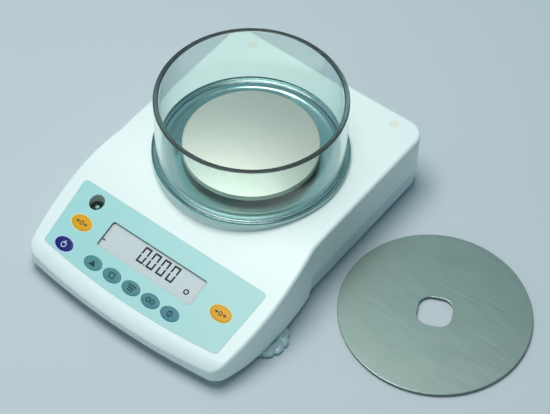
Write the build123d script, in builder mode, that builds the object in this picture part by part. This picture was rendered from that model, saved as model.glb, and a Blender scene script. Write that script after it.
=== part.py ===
"""Laboratory balance with a round glass draft shield, its lid lying beside it.

Millimetres. The origin is on the weighing pan's axis at the height of the table, +X is to the right of
a user in front of the balance, +Y points to its back and +Z up.
"""

from build123d import *
from math import cos, radians, sin, sqrt, tan
import os

os.makedirs("parts", exist_ok=True)

# Housing, seen from above
housing_width = 214.0
rear_y = 117.0
front_y = -186.0
bow_radius = 647.0
waist_y = -50.0
bulge_y = -108.0
bulge_out = 6.0
rear_corner_radius = 17.5
front_corner_radius = 14.0
waist_radius = 12.0

# Housing, seen from the side
deck_top = 68.0
slope_degrees = 18.8
panel_y = -136.0
panel_z = 42.0
deck_blend_radius = 230.0
lip_roll_radius = 20.0
lip_roll_length = 10.0
lip_roll_sweep = 24.0
lip_roll_end_degrees = 80.0
rim_radius = 3.0
rim_band = 12.0
steepest_rim = 0.9
wall = 2.5
skirt_bottom = 6.5
shell_joint = 27.0
joint_step_length = 6.0
nose_start_y = -146.0
nose_lift = 7.0

# How far the blocks that cut the housing run past it
overrun = 10.0

# Lower tray
base_inset = 1.5
base_drop = 0.6
base_floor = 2.5
base_wall = 2.0
tongue_height = 4.0
front_wall_height = 8.0
shell_gap = 0.4

# Boss and draft shield
boss_top = 70.0
boss_radius = 85.0
boss_flare = 0.6
boss_edge = 0.8
boss_hole_radius = 24.0
plate_thickness = 1.2
plate_radius = 86.5
plate_lip_width = 3.2
plate_lip_height = 3.2
plate_seat_step = 0.6
plate_seat_width = 8.0
plate_crease_width = 4.0
plate_collar_height = 2.0
glass_wall = 4.5
glass_height = 64.2
glass_clearance = 0.4
glass_edge = 0.8

# Lid, lying on the table
lid_x = 201.2
lid_y = -0.3
lid_radius = 83.6
lid_thickness = 1.5
lid_edge = 0.5
lid_ring_height = 2.5
lid_ring_width = 3.0
lid_hole = 30.0
lid_hole_corner = 11.0
lid_hole_turn = 25.0

# Weighing pan and what carries it
pan_radius = 60.0
pan_gap = 4.6
pan_skirt = 5.0
pan_sheet = 1.2
pan_edge = 1.0
arm_width = 14.0
arm_reach = 50.0
arm_thickness = 3.0
hub_radius = 11.0
hub_collar_radius = 15.4
hub_depth = 9.0
cone_radius = 6.0
cone_top_radius = 4.0
cone_clearance = 0.3
cone_flange = 3.0
cone_flange_radius = 12.0

# Keypad, in the plane of the slope
foil_thickness = 0.5
foil_clearance = 0.2
foil_top = 33.4
foil_bottom = -31.0
foil_bow = 6.5
foil_top_half = 99.8
foil_bottom_half = 95.0
foil_corner = 3.5
window_x = -1.3
window_v = 3.1
window_width = 103.7
window_height = 25.3
window_corner = 2.5
window_depth = 1.5
bezel_wall = 1.2
bezel_rebate = 0.6
bezel_flange = 2.0
bezel_flange_thickness = 1.0
lens_thickness = 1.0
board_depth = 9.0
board_thickness = 1.6
board_half = 93.0
board_top = 22.0
board_bottom = -34.0
board_posts = [(88.0, -12.0), (65.0, 17.0), (60.5, -28.0)]
board_post_radius = 3.0

# Keys
tare_key_width = 20.0
tare_key_height = 13.0
key_width = 18.0
key_height = 12.0
key_gap = 0.2
key_proud = 0.3
key_edge = 0.2
key_travel = 0.5
key_flange = 1.2
key_flange_thickness = 1.0
plunger_radius = 2.0
dome_radius = 3.0
dome_height = 1.0
tare_key_x = 76.5
tare_key_v = -0.8
low_key_v = -24.4
power_key_x = -77.4
first_key_x = -44.4
key_pitch = 21.15
function_keys = 5

# Bubble level
level_x = -77.3
level_v = 21.4
level_radius = 7.0
level_wall = 0.8
level_flange = 2.0
level_flange_thickness = 1.0
level_depth = 13.0
level_gap = 0.1
vial_height = 6.0
vial_radius = 6.6
vial_dome = 1.0

# Feet
foot_x = 101.5
foot_y = -110.5
wheel_radius = 22.0
wheel_top = 5.9
wheel_bottom = 2.0
wheel_edge = 1.6
wheel_lobes = 12
groove_radius = 2.2
groove_slant = 28.0
stud_radius = 4.0
stud_clearance = 0.1
stud_height = 17.0
foot_post_radius = 8.0
pad_radius = 9.0
pad_gap = 0.3
pivot_radius = 1.5
pivot_height = 3.0
pivot_clearance = 0.1
rear_foot_x = 88.0
rear_foot_y = 92.0
rear_foot_radius = 9.0
rear_foot_taper = 1.0
rear_stem_radius = 3.0
rear_stem_height = 5.0
rear_stem_cover = 1.0

# Screws, plugs and their fits
plug_x = 79.0
plug_y = 103.7
plug_radius = 4.0
plug_thickness = 2.0
loose_fit = 0.1
post_radius = 6.0
front_post_x = 99.0
front_post_y = -150.0
front_post_radius = 4.5
screw_radius = 1.5
screw_hold = 0.05
screw_head_radius = 3.0
screw_head_height = 2.0
screw_ledge = 4.0
screw_bite = 8.0
front_head_sink = 1.0

# Weigh cell
cell_half_width = 20.0
cell_front = -16.0
cell_back = 62.0
cell_lift = 4.0
cell_head_room = 8.0
cell_end = 15.0
flexure_radius = 4.0
flexure = 1.5
bracket_thickness = 4.0
bracket_half_width = 31.0
bracket_front = 46.0
bracket_back = 105.0
bracket_screw_inset = 6.0
cell_post_radius = 5.0
pot_y = 83.0
pot_radius = 19.0
pot_slot_radius = 9.0
pot_slot_width = 4.0
pot_slot_depth = 16.0
coil_gap = 0.6
lever_width = 8.0
lever_thickness = 4.0
lever_gap = 1.5

# Main board and the connectors at the back
main_board_left = 34.0
main_board_right = 95.0
main_board_front = -30.0
main_board_back = 94.0
main_board_height = 24.0
main_post_radius = 3.5
main_post_inset = 6.0
chip_size = 24.0
chip_y = 30.0
chip_height = 2.5
small_chip_width = 16.0
small_chip_depth = 10.0
small_chip_y = -4.0
small_chip_spacing = 28.0
capacitor_radius = 5.0
capacitor_height = 11.0
capacitor_aside = 20.0
capacitor_y = 52.0
capacitor_spacing = 16.0
data_x = 50.0
data_shell_width = 17.0
data_shell_height = 8.4
data_shell_wall = 0.7
data_shell_slant = 80.0
data_corner = 1.0
data_flange_width = 31.0
data_flange_height = 12.5
data_flange_thickness = 1.0
data_shell_reach = 6.0
data_body_depth = 22.0
data_screw_spacing = 25.0
jack_hole_radius = 1.45
jack_radius = 2.6
jack_length = 5.0
power_x = -50.0
power_z = 44.0
power_radius = 5.6
power_nut_radius = 8.0
power_nut_thickness = 2.0
power_length = 13.0
power_bore_radius = 2.75
power_bore_length = 9.5
hook_radius = 11.0
hook_plug_flange = 2.0
hook_plug_thickness = 1.2
hook_clearance = 0.2

# Places that follow from the sizes above
slope = radians(slope_degrees)
half_width = housing_width / 2
side_radius = ((waist_y - bulge_y) ** 2 + bulge_out**2) / (2 * bulge_out)
side_x = half_width + bulge_out - side_radius
meet_y = panel_y + (deck_top - panel_z) / tan(slope)
nose_y = front_y - overrun
base_bottom = skirt_bottom + base_drop
floor_top = base_bottom + base_floor
plate_top = boss_top + plate_thickness
glass_radius = plate_radius - plate_lip_width - glass_clearance
glass_foot = plate_top + plate_seat_step
pan_top = plate_top + pan_gap + pan_skirt
panel = Plane(origin=(0, panel_y, panel_z), x_dir=(1, 0, 0), z_dir=(0, -sin(slope), cos(slope)))
level_y = panel_y + level_v * cos(slope)
level_rim = panel_z + level_v * sin(slope)


def slope_height(y):
    """Height of the sloped face at a distance from front to back."""
    return panel_z + (y - panel_y) * tan(slope)


def below_panel(depth):
    """The plane of the slope, a depth under its face."""
    return panel.offset(-depth)


def facing_back(x, y, z):
    """A plane that faces the back, its first direction to the left of a user in front."""
    return Plane((x, y, z), x_dir=(-1, 0, 0), z_dir=(0, 1, 0))


def both_sides(x, y):
    """The same place at the left and at the right."""
    return [(-x, y), (x, y)]


def housing_plan(inset=0.0):
    """Outline of the housing seen from above, an inset in from its outer face."""
    half = half_width - inset
    reach = side_radius - inset
    meet = bulge_y + sqrt(reach**2 - (half - side_x) ** 2)
    with BuildSketch() as plan:
        with Locations((0, meet)):
            Rectangle(2 * housing_width, meet - nose_y, align=(Align.CENTER, Align.MAX))
        with Locations((0, front_y + bow_radius)):
            Circle(bow_radius - inset, mode=Mode.INTERSECT)
        with Locations((side_x, bulge_y)):
            Circle(reach, mode=Mode.INTERSECT)
        with Locations((-side_x, bulge_y)):
            Circle(reach, mode=Mode.INTERSECT)
        with Locations((0, meet)):
            Rectangle(2 * half, rear_y - inset - meet, align=(Align.CENTER, Align.MIN))
        fillet(plan.vertices().group_by(Axis.Y)[-1], rear_corner_radius - inset)
        fillet(plan.vertices().group_by(Axis.Y)[0], front_corner_radius - inset)
        fillet(plan.vertices().filter_by_position(Axis.Y, meet - 1, meet + 1), waist_radius + inset)
    return plan.sketch


def upright(sketch, low, high):
    """A plan drawn up from one height to another."""
    with BuildPart() as block:
        with BuildSketch(Plane.XY.offset(low)):
            add(sketch)
        extrude(amount=high - low)
    return block.part


def slab(points, corner=None, radius=0.0):
    """A side outline, given as (y, z) points, made into a slab wider than the housing."""
    with BuildPart() as block:
        with BuildSketch(Plane.YZ) as outline:
            with BuildLine():
                Polyline(*points, close=True)
            make_face()
            if corner:
                fillet(outline.vertices().sort_by_distance(Vector(0, *corner))[0], radius)
        extrude(amount=housing_width, both=True)
    return block.part


def above_deck(drop=0.0):
    """The air above the deck and the slope, lowered by a drop for the inside of the shell."""
    high = 2 * deck_top
    outline = [
        (nose_y, slope_height(nose_y) - drop),
        (meet_y, deck_top - drop),
        (rear_y + overrun, deck_top - drop),
        (rear_y + overrun, high),
        (nose_y, high),
    ]
    return slab(outline, (meet_y, deck_top - drop), deck_blend_radius)


def below_skirt(lift=0.0, rear_height=shell_joint):
    """The air under the housing: low in front, higher behind the waist, rising at the nose."""
    low = skirt_bottom + lift
    rise = nose_lift * (nose_start_y - nose_y) / (nose_start_y - front_y)
    outline = [
        (rear_y + overrun, -overrun),
        (rear_y + overrun, rear_height),
        (waist_y, rear_height),
        (waist_y - joint_step_length, low),
        (nose_start_y, low),
        (nose_y, low + rise),
        (nose_y, -overrun),
    ]
    return slab(outline)


def lip_roll(inset=0.0):
    """The air that rounds the front lip, turned square to the slope so that it meets it smoothly."""
    roll_radius = lip_roll_radius - inset
    centre_y = front_y + lip_roll_length + lip_roll_radius * sin(slope)
    centre_z = slope_height(front_y + lip_roll_length) - lip_roll_radius * cos(slope)
    end_turn = radians(lip_roll_end_degrees)
    half_turn = (slope + end_turn) / 2
    start = (centre_y - roll_radius * sin(slope), centre_z + roll_radius * cos(slope))
    halfway = (centre_y - roll_radius * sin(half_turn), centre_z + roll_radius * cos(half_turn))
    end = (centre_y - roll_radius * sin(end_turn), centre_z + roll_radius * cos(end_turn))
    high = start[1] + lip_roll_radius
    with BuildPart() as air:
        with BuildSketch(Plane.YZ):
            with BuildLine():
                ThreePointArc(start, halfway, end)
                Polyline(end, (nose_y, end[1] - lip_roll_length), (nose_y, high), (start[0], high), start)
            make_face()
        reach = bow_radius * cos(slope)
        middle = (0, start[0] + reach * cos(slope), start[1] + reach * sin(slope))
        axis = Axis(middle, panel.z_dir)
        revolve(axis=axis, revolution_arc=lip_roll_sweep)
    return air.part.rotate(axis, -lip_roll_sweep / 2)


def posts(places, radius, low, high):
    """Round posts from one height to another."""
    with BuildPart() as group:
        with Locations(*[(x, y, low) for x, y in places]):
            Cylinder(radius, high - low, align=(Align.CENTER, Align.CENTER, Align.MIN))
    return group.part


def is_rim(edge):
    """True for an edge that runs round the top of the housing's walls."""
    middle = edge @ 0.5
    level = abs((edge % 0.5).Z) < steepest_rim
    near_side = abs(middle.X) > half_width - rim_band
    near_end = middle.Y < front_y + rim_radius or middle.Y > rear_y - rim_radius
    return level and (near_side or near_end) and middle.Z > skirt_bottom


def foil_plan(grow=0.0):
    """Outline of the keypad foil in the plane of the slope."""
    top_half = foil_top_half + grow
    bottom_half = foil_bottom_half + grow
    top = foil_top + grow
    bottom = foil_bottom - grow
    with BuildSketch() as outline:
        with BuildLine():
            Polyline((bottom_half, bottom), (top_half, top), (-top_half, top), (-bottom_half, bottom))
            ThreePointArc((-bottom_half, bottom), (0, bottom - foil_bow), (bottom_half, bottom))
        make_face()
        fillet(outline.vertices(), foil_corner + grow)
    return outline.sketch


def window_plan(grow=0.0):
    """Outline of the display window in the plane of the slope."""
    with BuildSketch() as outline:
        with Locations((window_x, window_v)):
            RectangleRounded(window_width + 2 * grow, window_height + 2 * grow, window_corner + grow)
    return outline.sketch


# Every key: its name, its place on the slope and its width and height
keys = [
    ("key_tare_left", -tare_key_x, tare_key_v, tare_key_width, tare_key_height),
    ("key_tare_right", tare_key_x, tare_key_v, tare_key_width, tare_key_height),
    ("key_power", power_key_x, low_key_v, key_width, key_height),
]
for number in range(function_keys):
    place = first_key_x + number * key_pitch
    keys.append((f"key_function_{number + 1}", place, low_key_v, key_width, key_height))

# Screw places, as (x, y)
rear_posts = both_sides(plug_x, plug_y)
front_posts = both_sides(front_post_x, front_post_y)
foot_places = both_sides(foot_x, foot_y)
rear_foot_places = both_sides(rear_foot_x, rear_foot_y)
keypad_posts = [place for x, v in board_posts for place in both_sides(x, v)]
bracket_posts = both_sides(bracket_half_width - bracket_screw_inset, bracket_front + bracket_screw_inset)
bracket_posts += both_sides(bracket_half_width - bracket_screw_inset, bracket_back - bracket_screw_inset)
main_posts = [
    (x, y)
    for x in (main_board_left + main_post_inset, main_board_right - main_post_inset)
    for y in (main_board_front + main_post_inset, main_board_back - main_post_inset)
]

# Heights inside the housing
deck_inside = deck_top - wall
front_joint = base_bottom + front_wall_height
bracket_bottom = floor_top + cell_lift
cell_bottom = bracket_bottom + bracket_thickness
cell_top = deck_inside - cell_head_room
main_board_bottom = floor_top + main_board_height
main_board_top = main_board_bottom + board_thickness
data_z = main_board_top + data_flange_height / 2

# Upper housing: walls, deck and boss outside
with BuildPart() as boss_inside:
    Cone(
        boss_radius + boss_flare - wall,
        boss_radius - wall,
        boss_top - wall - shell_joint,
        align=(Align.CENTER, Align.CENTER, Align.MIN),
    )
boss_hollow = boss_inside.part.moved(Location((0, 0, shell_joint)))

with BuildPart() as hollow:
    add(upright(housing_plan(wall), -1, deck_top))
    add(above_deck(wall), mode=Mode.SUBTRACT)
    add(lip_roll(wall), mode=Mode.SUBTRACT)
    add(boss_hollow)

# Posts that reach down from inside the deck
with BuildPart() as hanging:
    add(posts(rear_posts, post_radius, shell_joint, deck_top))
    add(posts(front_posts, front_post_radius, front_joint, deck_top))
    add(above_deck(wall / 2), mode=Mode.SUBTRACT)

with BuildPart() as upper_housing:
    add(upright(housing_plan(), 0, deck_top + wall))
    add(above_deck(), mode=Mode.SUBTRACT)
    add(lip_roll(), mode=Mode.SUBTRACT)
    fillet(upper_housing.edges().filter_by(is_rim), rim_radius)
    with Locations((0, 0, shell_joint)):
        Cone(
            boss_radius + boss_flare,
            boss_radius,
            boss_top - shell_joint,
            align=(Align.CENTER, Align.CENTER, Align.MIN),
        )
    fillet(upper_housing.faces().sort_by(Axis.Z)[-1].edges(), boss_edge)
    add(hollow.part, mode=Mode.SUBTRACT)
    add(below_skirt(), mode=Mode.SUBTRACT)
    add(hanging.part)
    # Posts for the keypad's board stand square to the slope
    with BuildSketch(below_panel(wall / 2)):
        with Locations(*keypad_posts):
            Circle(board_post_radius)
    extrude(amount=wall / 2 - board_depth)
    # Bed for the foil, then the openings under it
    with BuildSketch(panel):
        add(foil_plan(foil_clearance))
    extrude(amount=-foil_thickness, mode=Mode.SUBTRACT)
    with BuildSketch(panel):
        add(window_plan(bezel_wall + foil_clearance))
    extrude(amount=-2 * wall, mode=Mode.SUBTRACT)
    with BuildSketch(panel):
        for _, x, v, width, height in keys:
            with Locations((x, v)):
                Ellipse(width / 2 + key_gap, height / 2 + key_gap)
    extrude(amount=-2 * wall, mode=Mode.SUBTRACT)
    with BuildSketch(panel):
        with Locations((level_x, level_v)):
            Circle(level_radius + level_wall + level_flange + level_gap)
    extrude(amount=-foil_thickness - level_flange_thickness, mode=Mode.SUBTRACT)
    with Locations((level_x, level_y, level_rim)):
        Cylinder(level_radius + level_wall + level_gap, 2 * level_depth, mode=Mode.SUBTRACT)
    # Way through the boss for the load cone
    with Locations((0, 0, boss_top)):
        Cylinder(boss_hole_radius, 4 * wall, mode=Mode.SUBTRACT)
    # Screw wells under the two plugs, and pilot holes for the front screws
    with Locations(*[(x, y, deck_top) for x, y in rear_posts]):
        CounterBoreHole(
            screw_head_radius + loose_fit,
            plug_radius + loose_fit,
            plug_thickness,
            deck_top - shell_joint - screw_ledge,
        )
    with Locations(*[(x, y, shell_joint) for x, y in rear_posts]):
        Cylinder(screw_radius + loose_fit, 3 * screw_ledge, mode=Mode.SUBTRACT)
    with Locations(*[(x, y, front_joint) for x, y in front_posts]):
        Cylinder(screw_radius + screw_hold, 2 * screw_bite, mode=Mode.SUBTRACT)
    with Locations(*[below_panel(board_depth).location * Pos(x, v, 0) for x, v in keypad_posts]):
        Cylinder(screw_radius + screw_hold, board_depth, mode=Mode.SUBTRACT)
    # Openings at the back for the data port and the power socket
    with BuildSketch(Plane.XZ.offset(-rear_y)):
        with Locations((data_x, data_z)):
            RectangleRounded(data_flange_width + 2 * foil_clearance, data_flange_height, data_corner)
        with Locations((power_x, power_z)):
            Circle(power_radius + loose_fit)
    extrude(amount=2 * wall, both=True, mode=Mode.SUBTRACT)

upper_housing.part.label = "upper_housing"
export_step(upper_housing.part, "parts/upper_housing.step")

# Lower tray: it shows only behind the waist, and stands inside the upper shell's skirt in front
step_foot = waist_y - joint_step_length
ahead_of_step = [
    (nose_y, -overrun),
    (step_foot + shell_gap, -overrun),
    (step_foot + shell_gap, skirt_bottom),
    (waist_y + shell_gap, shell_joint),
    (waist_y + shell_gap, deck_top),
    (nose_y, deck_top),
]
above_front_wall = [
    (nose_y, front_joint),
    (step_foot, front_joint),
    (step_foot, deck_top),
    (nose_y, deck_top),
]
foot_post_top = wheel_top + stud_height
front_head_top = floor_top + front_head_sink
rear_stem_top = base_bottom + rear_stem_height

# Everything that stands up from the tray's floor: places, radius, foot and top
tray_posts = [
    (rear_posts, post_radius, base_bottom, shell_joint),
    (front_posts, front_post_radius, base_bottom + base_floor / 2, front_joint),
    (foot_places, foot_post_radius, base_bottom, foot_post_top),
    (rear_foot_places, rear_foot_radius, base_bottom, rear_stem_top + rear_stem_cover),
    (bracket_posts, cell_post_radius, base_bottom, bracket_bottom),
    (main_posts, main_post_radius, base_bottom, main_board_bottom),
]

# Every hole in it, for screws, studs, feet and the hook of weighing below
tray_holes = [
    (rear_posts, screw_radius + screw_hold, shell_joint - 2 * screw_bite, deck_top),
    (front_posts, screw_radius + loose_fit, 0, deck_top),
    (front_posts, screw_head_radius + loose_fit, 0, front_head_top),
    (foot_places, stud_radius + stud_clearance, 0, deck_top),
    (rear_foot_places, rear_stem_radius + screw_hold, 0, rear_stem_top),
    (bracket_posts, screw_radius + screw_hold, floor_top, deck_top),
    (main_posts, screw_radius + screw_hold, main_board_bottom - screw_bite, deck_top),
    ([(0, 0)], hook_radius, 0, deck_top),
]

with BuildPart() as tray_hollow:
    add(upright(housing_plan(wall + shell_gap + base_wall), floor_top, deck_top))
    add(below_skirt(base_drop + base_floor, floor_top), mode=Mode.SUBTRACT)

with BuildPart() as base_housing:
    add(upright(housing_plan(base_inset), base_bottom, shell_joint))
    add(slab(ahead_of_step), mode=Mode.SUBTRACT)
    add(upright(housing_plan(wall + shell_gap), base_bottom, shell_joint + tongue_height))
    add(slab(above_front_wall), mode=Mode.SUBTRACT)
    add(below_skirt(base_drop, base_bottom), mode=Mode.SUBTRACT)
    add(tray_hollow.part, mode=Mode.SUBTRACT)
    for places, radius, low, high in tray_posts:
        add(posts(places, radius, low, high))
    for places, radius, low, high in tray_holes:
        add(posts(places, radius, low, high), mode=Mode.SUBTRACT)
base_housing.part.label = "base_housing"
export_step(base_housing.part, "parts/base_housing.step")


def screw(length):
    """A pan-head screw standing head up, with its head's underside at the origin."""
    with BuildPart() as one:
        Cylinder(screw_head_radius, screw_head_height, align=(Align.CENTER, Align.CENTER, Align.MIN))
        fillet(one.faces().sort_by(Axis.Z)[-1].edges(), screw_head_height / 3)
        Cylinder(screw_radius, length, align=(Align.CENTER, Align.CENTER, Align.MAX))
    return one.part


def screws(length, places):
    """A group of equal screws, each at its own location."""
    one = screw(length)
    return [one.moved(place) for place in places]


# Screws that join the two shells: two from above at the back, two from below in front
rear_screws = screws(
    screw_ledge + screw_bite,
    [Location((x, y, shell_joint + screw_ledge)) for x, y in rear_posts],
)
front_screws = screws(
    front_joint - front_head_top + screw_bite - loose_fit,
    [Location((x, y, front_head_top), (180, 0, 0)) for x, y in front_posts],
)
housing_screws = Compound(label="housing_screws", children=rear_screws + front_screws)
export_step(housing_screws, "parts/housing_screws.step")

# Plugs that cover the two rear screws
with BuildPart() as deck_plugs:
    add(posts(rear_posts, plug_radius, deck_top - plug_thickness, deck_top))
deck_plugs.part.label = "deck_plugs"
export_step(deck_plugs.part, "parts/deck_plugs.step")

# Metal plate that the glass stands on: a shallow dish with a collar round the load cone
collar_radius = boss_hole_radius - plate_thickness
with BuildPart() as shield_plate:
    with BuildSketch(Plane.XZ):
        with BuildLine():
            Polyline(
                (collar_radius, boss_top),
                (plate_radius, boss_top),
                (plate_radius, boss_top + plate_lip_height),
                (plate_radius - plate_thickness, boss_top + plate_lip_height),
                (plate_radius - plate_lip_width, glass_foot + glass_clearance),
                (plate_radius - plate_lip_width, glass_foot),
                (glass_radius - plate_seat_width, glass_foot),
                (glass_radius - plate_seat_width - plate_crease_width, plate_top),
                (collar_radius + plate_thickness, plate_top),
                (collar_radius + plate_thickness, plate_top + plate_collar_height),
                (collar_radius, plate_top + plate_collar_height),
                close=True,
            )
        make_face()
    revolve(axis=Axis.Z)
shield_plate.part.label = "shield_plate"
export_step(shield_plate.part, "parts/shield_plate.step")

# Glass cylinder
with BuildPart() as glass:
    with BuildSketch(Plane.XY.offset(glass_foot)):
        Circle(glass_radius)
        Circle(glass_radius - glass_wall, mode=Mode.SUBTRACT)
    extrude(amount=glass_height)
    fillet(glass.edges().filter_by(GeomType.CIRCLE), glass_edge)
glass.part.label = "draft_shield_glass"
export_step(glass.part, "parts/draft_shield_glass.step")

# Lid: a plate with a ring under it that centres it inside the glass
lid_ring_radius = glass_radius - glass_wall - glass_clearance
with BuildPart() as lid:
    with BuildSketch(Plane((lid_x, lid_y, lid_ring_height))):
        Circle(lid_radius)
    extrude(amount=lid_thickness)
    chamfer(lid.faces().sort_by(Axis.Z)[-1].edges(), lid_edge)
    with BuildSketch(Plane((lid_x, lid_y, 0))):
        Circle(lid_ring_radius)
        Circle(lid_ring_radius - lid_ring_width, mode=Mode.SUBTRACT)
    extrude(amount=lid_ring_height)
    with BuildSketch(Plane((lid_x, lid_y, 0))):
        RectangleRounded(lid_hole, lid_hole, lid_hole_corner, rotation=lid_hole_turn)
    extrude(amount=lid_ring_height + lid_thickness, mode=Mode.SUBTRACT)
lid.part.label = "draft_shield_cover"
export_step(lid.part, "parts/draft_shield_cover.step")

# Weighing pan: a round sheet with its rim turned down
with BuildPart() as pan:
    with BuildSketch(Plane.XZ) as section:
        with BuildLine():
            Polyline(
                (0, pan_top),
                (pan_radius, pan_top),
                (pan_radius, pan_top - pan_skirt),
                (pan_radius - pan_sheet, pan_top - pan_skirt),
                (pan_radius - pan_sheet, pan_top - pan_sheet),
                (0, pan_top - pan_sheet),
                close=True,
            )
        make_face()
        fillet(section.vertices().sort_by_distance(Vector(pan_radius, 0, pan_top))[0], pan_edge)
    revolve(axis=Axis.Z)
pan.part.label = "weighing_pan"
export_step(pan.part, "parts/weighing_pan.step")

# Four-armed support under the pan, with a hub that drops over the load cone
support_top = pan_top - pan_sheet
support_bottom = support_top - arm_thickness
bore_top = support_top - arm_thickness / 3
cone_foot = cell_top + cone_flange
cone_tip = bore_top - cone_clearance


def cone_between(extra, tip):
    """The load cone's taper, grown by a clearance for the hub's bore."""
    with BuildPart() as taper:
        with Locations((0, 0, cone_foot)):
            Cone(
                cone_radius + extra,
                cone_top_radius + extra,
                tip - cone_foot,
                align=(Align.CENTER, Align.CENTER, Align.MIN),
            )
    return taper.part


with BuildPart() as pan_support:
    with BuildSketch(Plane.XY.offset(support_bottom)):
        Circle(hub_collar_radius)
        with PolarLocations(arm_reach / 2, 4, start_angle=45):
            Rectangle(arm_reach, arm_width)
        with PolarLocations(arm_reach, 4, start_angle=45):
            Circle(arm_width / 2)
    extrude(amount=arm_thickness)
    with BuildSketch(Plane.XY.offset(support_bottom - hub_depth)):
        Circle(hub_radius)
    extrude(amount=hub_depth)
    add(cone_between(cone_clearance, bore_top), mode=Mode.SUBTRACT)
pan_support.part.label = "pan_support"
export_step(pan_support.part, "parts/pan_support.step")

with BuildPart() as load_cone:
    with BuildSketch(Plane.XY.offset(cell_top)):
        Circle(cone_flange_radius)
    extrude(amount=cone_flange)
    add(cone_between(0, cone_tip))
    chamfer(load_cone.faces().sort_by(Axis.Z)[-1].edges(), cone_top_radius / 4)
load_cone.part.label = "load_cone"
export_step(load_cone.part, "parts/load_cone.step")

# Weigh cell: one block with a window whose corners leave four thin flexures
window_front = cell_front + cell_end
window_back = cell_back - cell_end
flexure_low = cell_bottom + flexure + flexure_radius
flexure_high = cell_top - flexure - flexure_radius
lever_top = flexure_high - flexure_radius - lever_gap
lever_bottom = lever_top - lever_thickness
with BuildPart() as weigh_cell:
    with BuildSketch(Plane.YZ):
        with BuildLine():
            Polyline(
                (cell_front, cell_bottom),
                (cell_back, cell_bottom),
                (cell_back, cell_top),
                (cell_front, cell_top),
                close=True,
            )
        make_face()
        with BuildLine():
            Polyline(
                (window_front, flexure_low),
                (window_back, flexure_low),
                (window_back, flexure_high),
                (window_front, flexure_high),
                close=True,
            )
        make_face(mode=Mode.SUBTRACT)
        with Locations(
            (window_front + flexure_radius, flexure_low),
            (window_back - flexure_radius, flexure_low),
            (window_front + flexure_radius, flexure_high),
            (window_back - flexure_radius, flexure_high),
        ):
            Circle(flexure_radius, mode=Mode.SUBTRACT)
    extrude(amount=cell_half_width, both=True)
    # Way through the fixed end for the lever
    with BuildSketch(Plane.XZ.offset(-window_back)):
        with Locations((0, (lever_top + lever_bottom) / 2)):
            Rectangle(lever_width + 2 * lever_gap, lever_thickness + 2 * lever_gap)
    extrude(amount=-cell_end, mode=Mode.SUBTRACT)
weigh_cell.part.label = "weigh_cell"
export_step(weigh_cell.part, "parts/weigh_cell.step")

# Magnet pot with a ring-shaped gap, and the lever that carries the coil in it
pot_top = lever_bottom - lever_gap
with BuildPart() as magnet_pot:
    with BuildSketch(Plane((0, pot_y, cell_bottom))):
        Circle(pot_radius)
    extrude(amount=pot_top - cell_bottom)
    with BuildSketch(Plane((0, pot_y, pot_top))):
        Circle(pot_slot_radius + pot_slot_width)
        Circle(pot_slot_radius, mode=Mode.SUBTRACT)
    extrude(amount=-pot_slot_depth, mode=Mode.SUBTRACT)
magnet_pot.part.label = "magnet_pot"
export_step(magnet_pot.part, "parts/magnet_pot.step")

with BuildPart() as coil_lever:
    with BuildSketch(Plane.XY.offset(lever_bottom)):
        with BuildLine():
            Polyline(
                (-lever_width / 2, window_front),
                (lever_width / 2, window_front),
                (lever_width / 2, pot_y),
                (-lever_width / 2, pot_y),
                close=True,
            )
        make_face()
        with Locations((0, pot_y)):
            Circle(pot_slot_radius + pot_slot_width - coil_gap)
    extrude(amount=lever_thickness)
    with BuildSketch(Plane((0, pot_y, lever_bottom))):
        Circle(pot_slot_radius + pot_slot_width - coil_gap)
        Circle(pot_slot_radius + coil_gap, mode=Mode.SUBTRACT)
    extrude(amount=-pot_slot_depth)
coil_lever.part.label = "coil_lever"
export_step(coil_lever.part, "parts/coil_lever.step")

# Bracket that holds the cell's fixed end and the magnet pot
with BuildPart() as cell_bracket:
    with BuildSketch(Plane.XY.offset(bracket_bottom)):
        with Locations((0, (bracket_front + bracket_back) / 2)):
            RectangleRounded(2 * bracket_half_width, bracket_back - bracket_front, bracket_screw_inset)
    extrude(amount=bracket_thickness)
    add(posts(bracket_posts, screw_radius + loose_fit, 0, deck_top), mode=Mode.SUBTRACT)
cell_bracket.part.label = "cell_bracket"
export_step(cell_bracket.part, "parts/cell_bracket.step")

cell_screws = Compound(
    label="cell_screws",
    children=screws(
        bracket_thickness + cell_lift - loose_fit,
        [Location((x, y, cell_bottom)) for x, y in bracket_posts],
    ),
)
export_step(cell_screws, "parts/cell_screws.step")

# Main board, with its tallest components
board_middle = (main_board_left + main_board_right) / 2
capacitor_row = (capacitor_y, capacitor_y + capacitor_spacing)
with BuildPart() as main_board:
    with BuildSketch(Plane.XY.offset(main_board_bottom)):
        with BuildLine():
            Polyline(
                (main_board_left, main_board_front),
                (main_board_right, main_board_front),
                (main_board_right, main_board_back),
                (main_board_left, main_board_back),
                close=True,
            )
        make_face()
        with Locations(*main_posts):
            Circle(screw_radius + loose_fit, mode=Mode.SUBTRACT)
    extrude(amount=board_thickness)
    with BuildSketch(Plane.XY.offset(main_board_top)):
        with Locations((board_middle, chip_y)):
            Rectangle(chip_size, chip_size)
        with Locations((board_middle, small_chip_y)):
            with GridLocations(small_chip_spacing, 0, 2, 1):
                Rectangle(small_chip_width, small_chip_depth)
    extrude(amount=chip_height)
    with BuildSketch(Plane.XY.offset(main_board_top)):
        with Locations(*[(board_middle + capacitor_aside, y) for y in capacitor_row]):
            Circle(capacitor_radius)
    extrude(amount=capacitor_height)
main_board.part.label = "main_board"
export_step(main_board.part, "parts/main_board.step")

board_screws = Compound(
    label="board_screws",
    children=screws(
        board_thickness + screw_bite - loose_fit,
        [Location((x, y, main_board_top)) for x, y in main_posts],
    ),
)
export_step(board_screws, "parts/board_screws.step")

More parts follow.
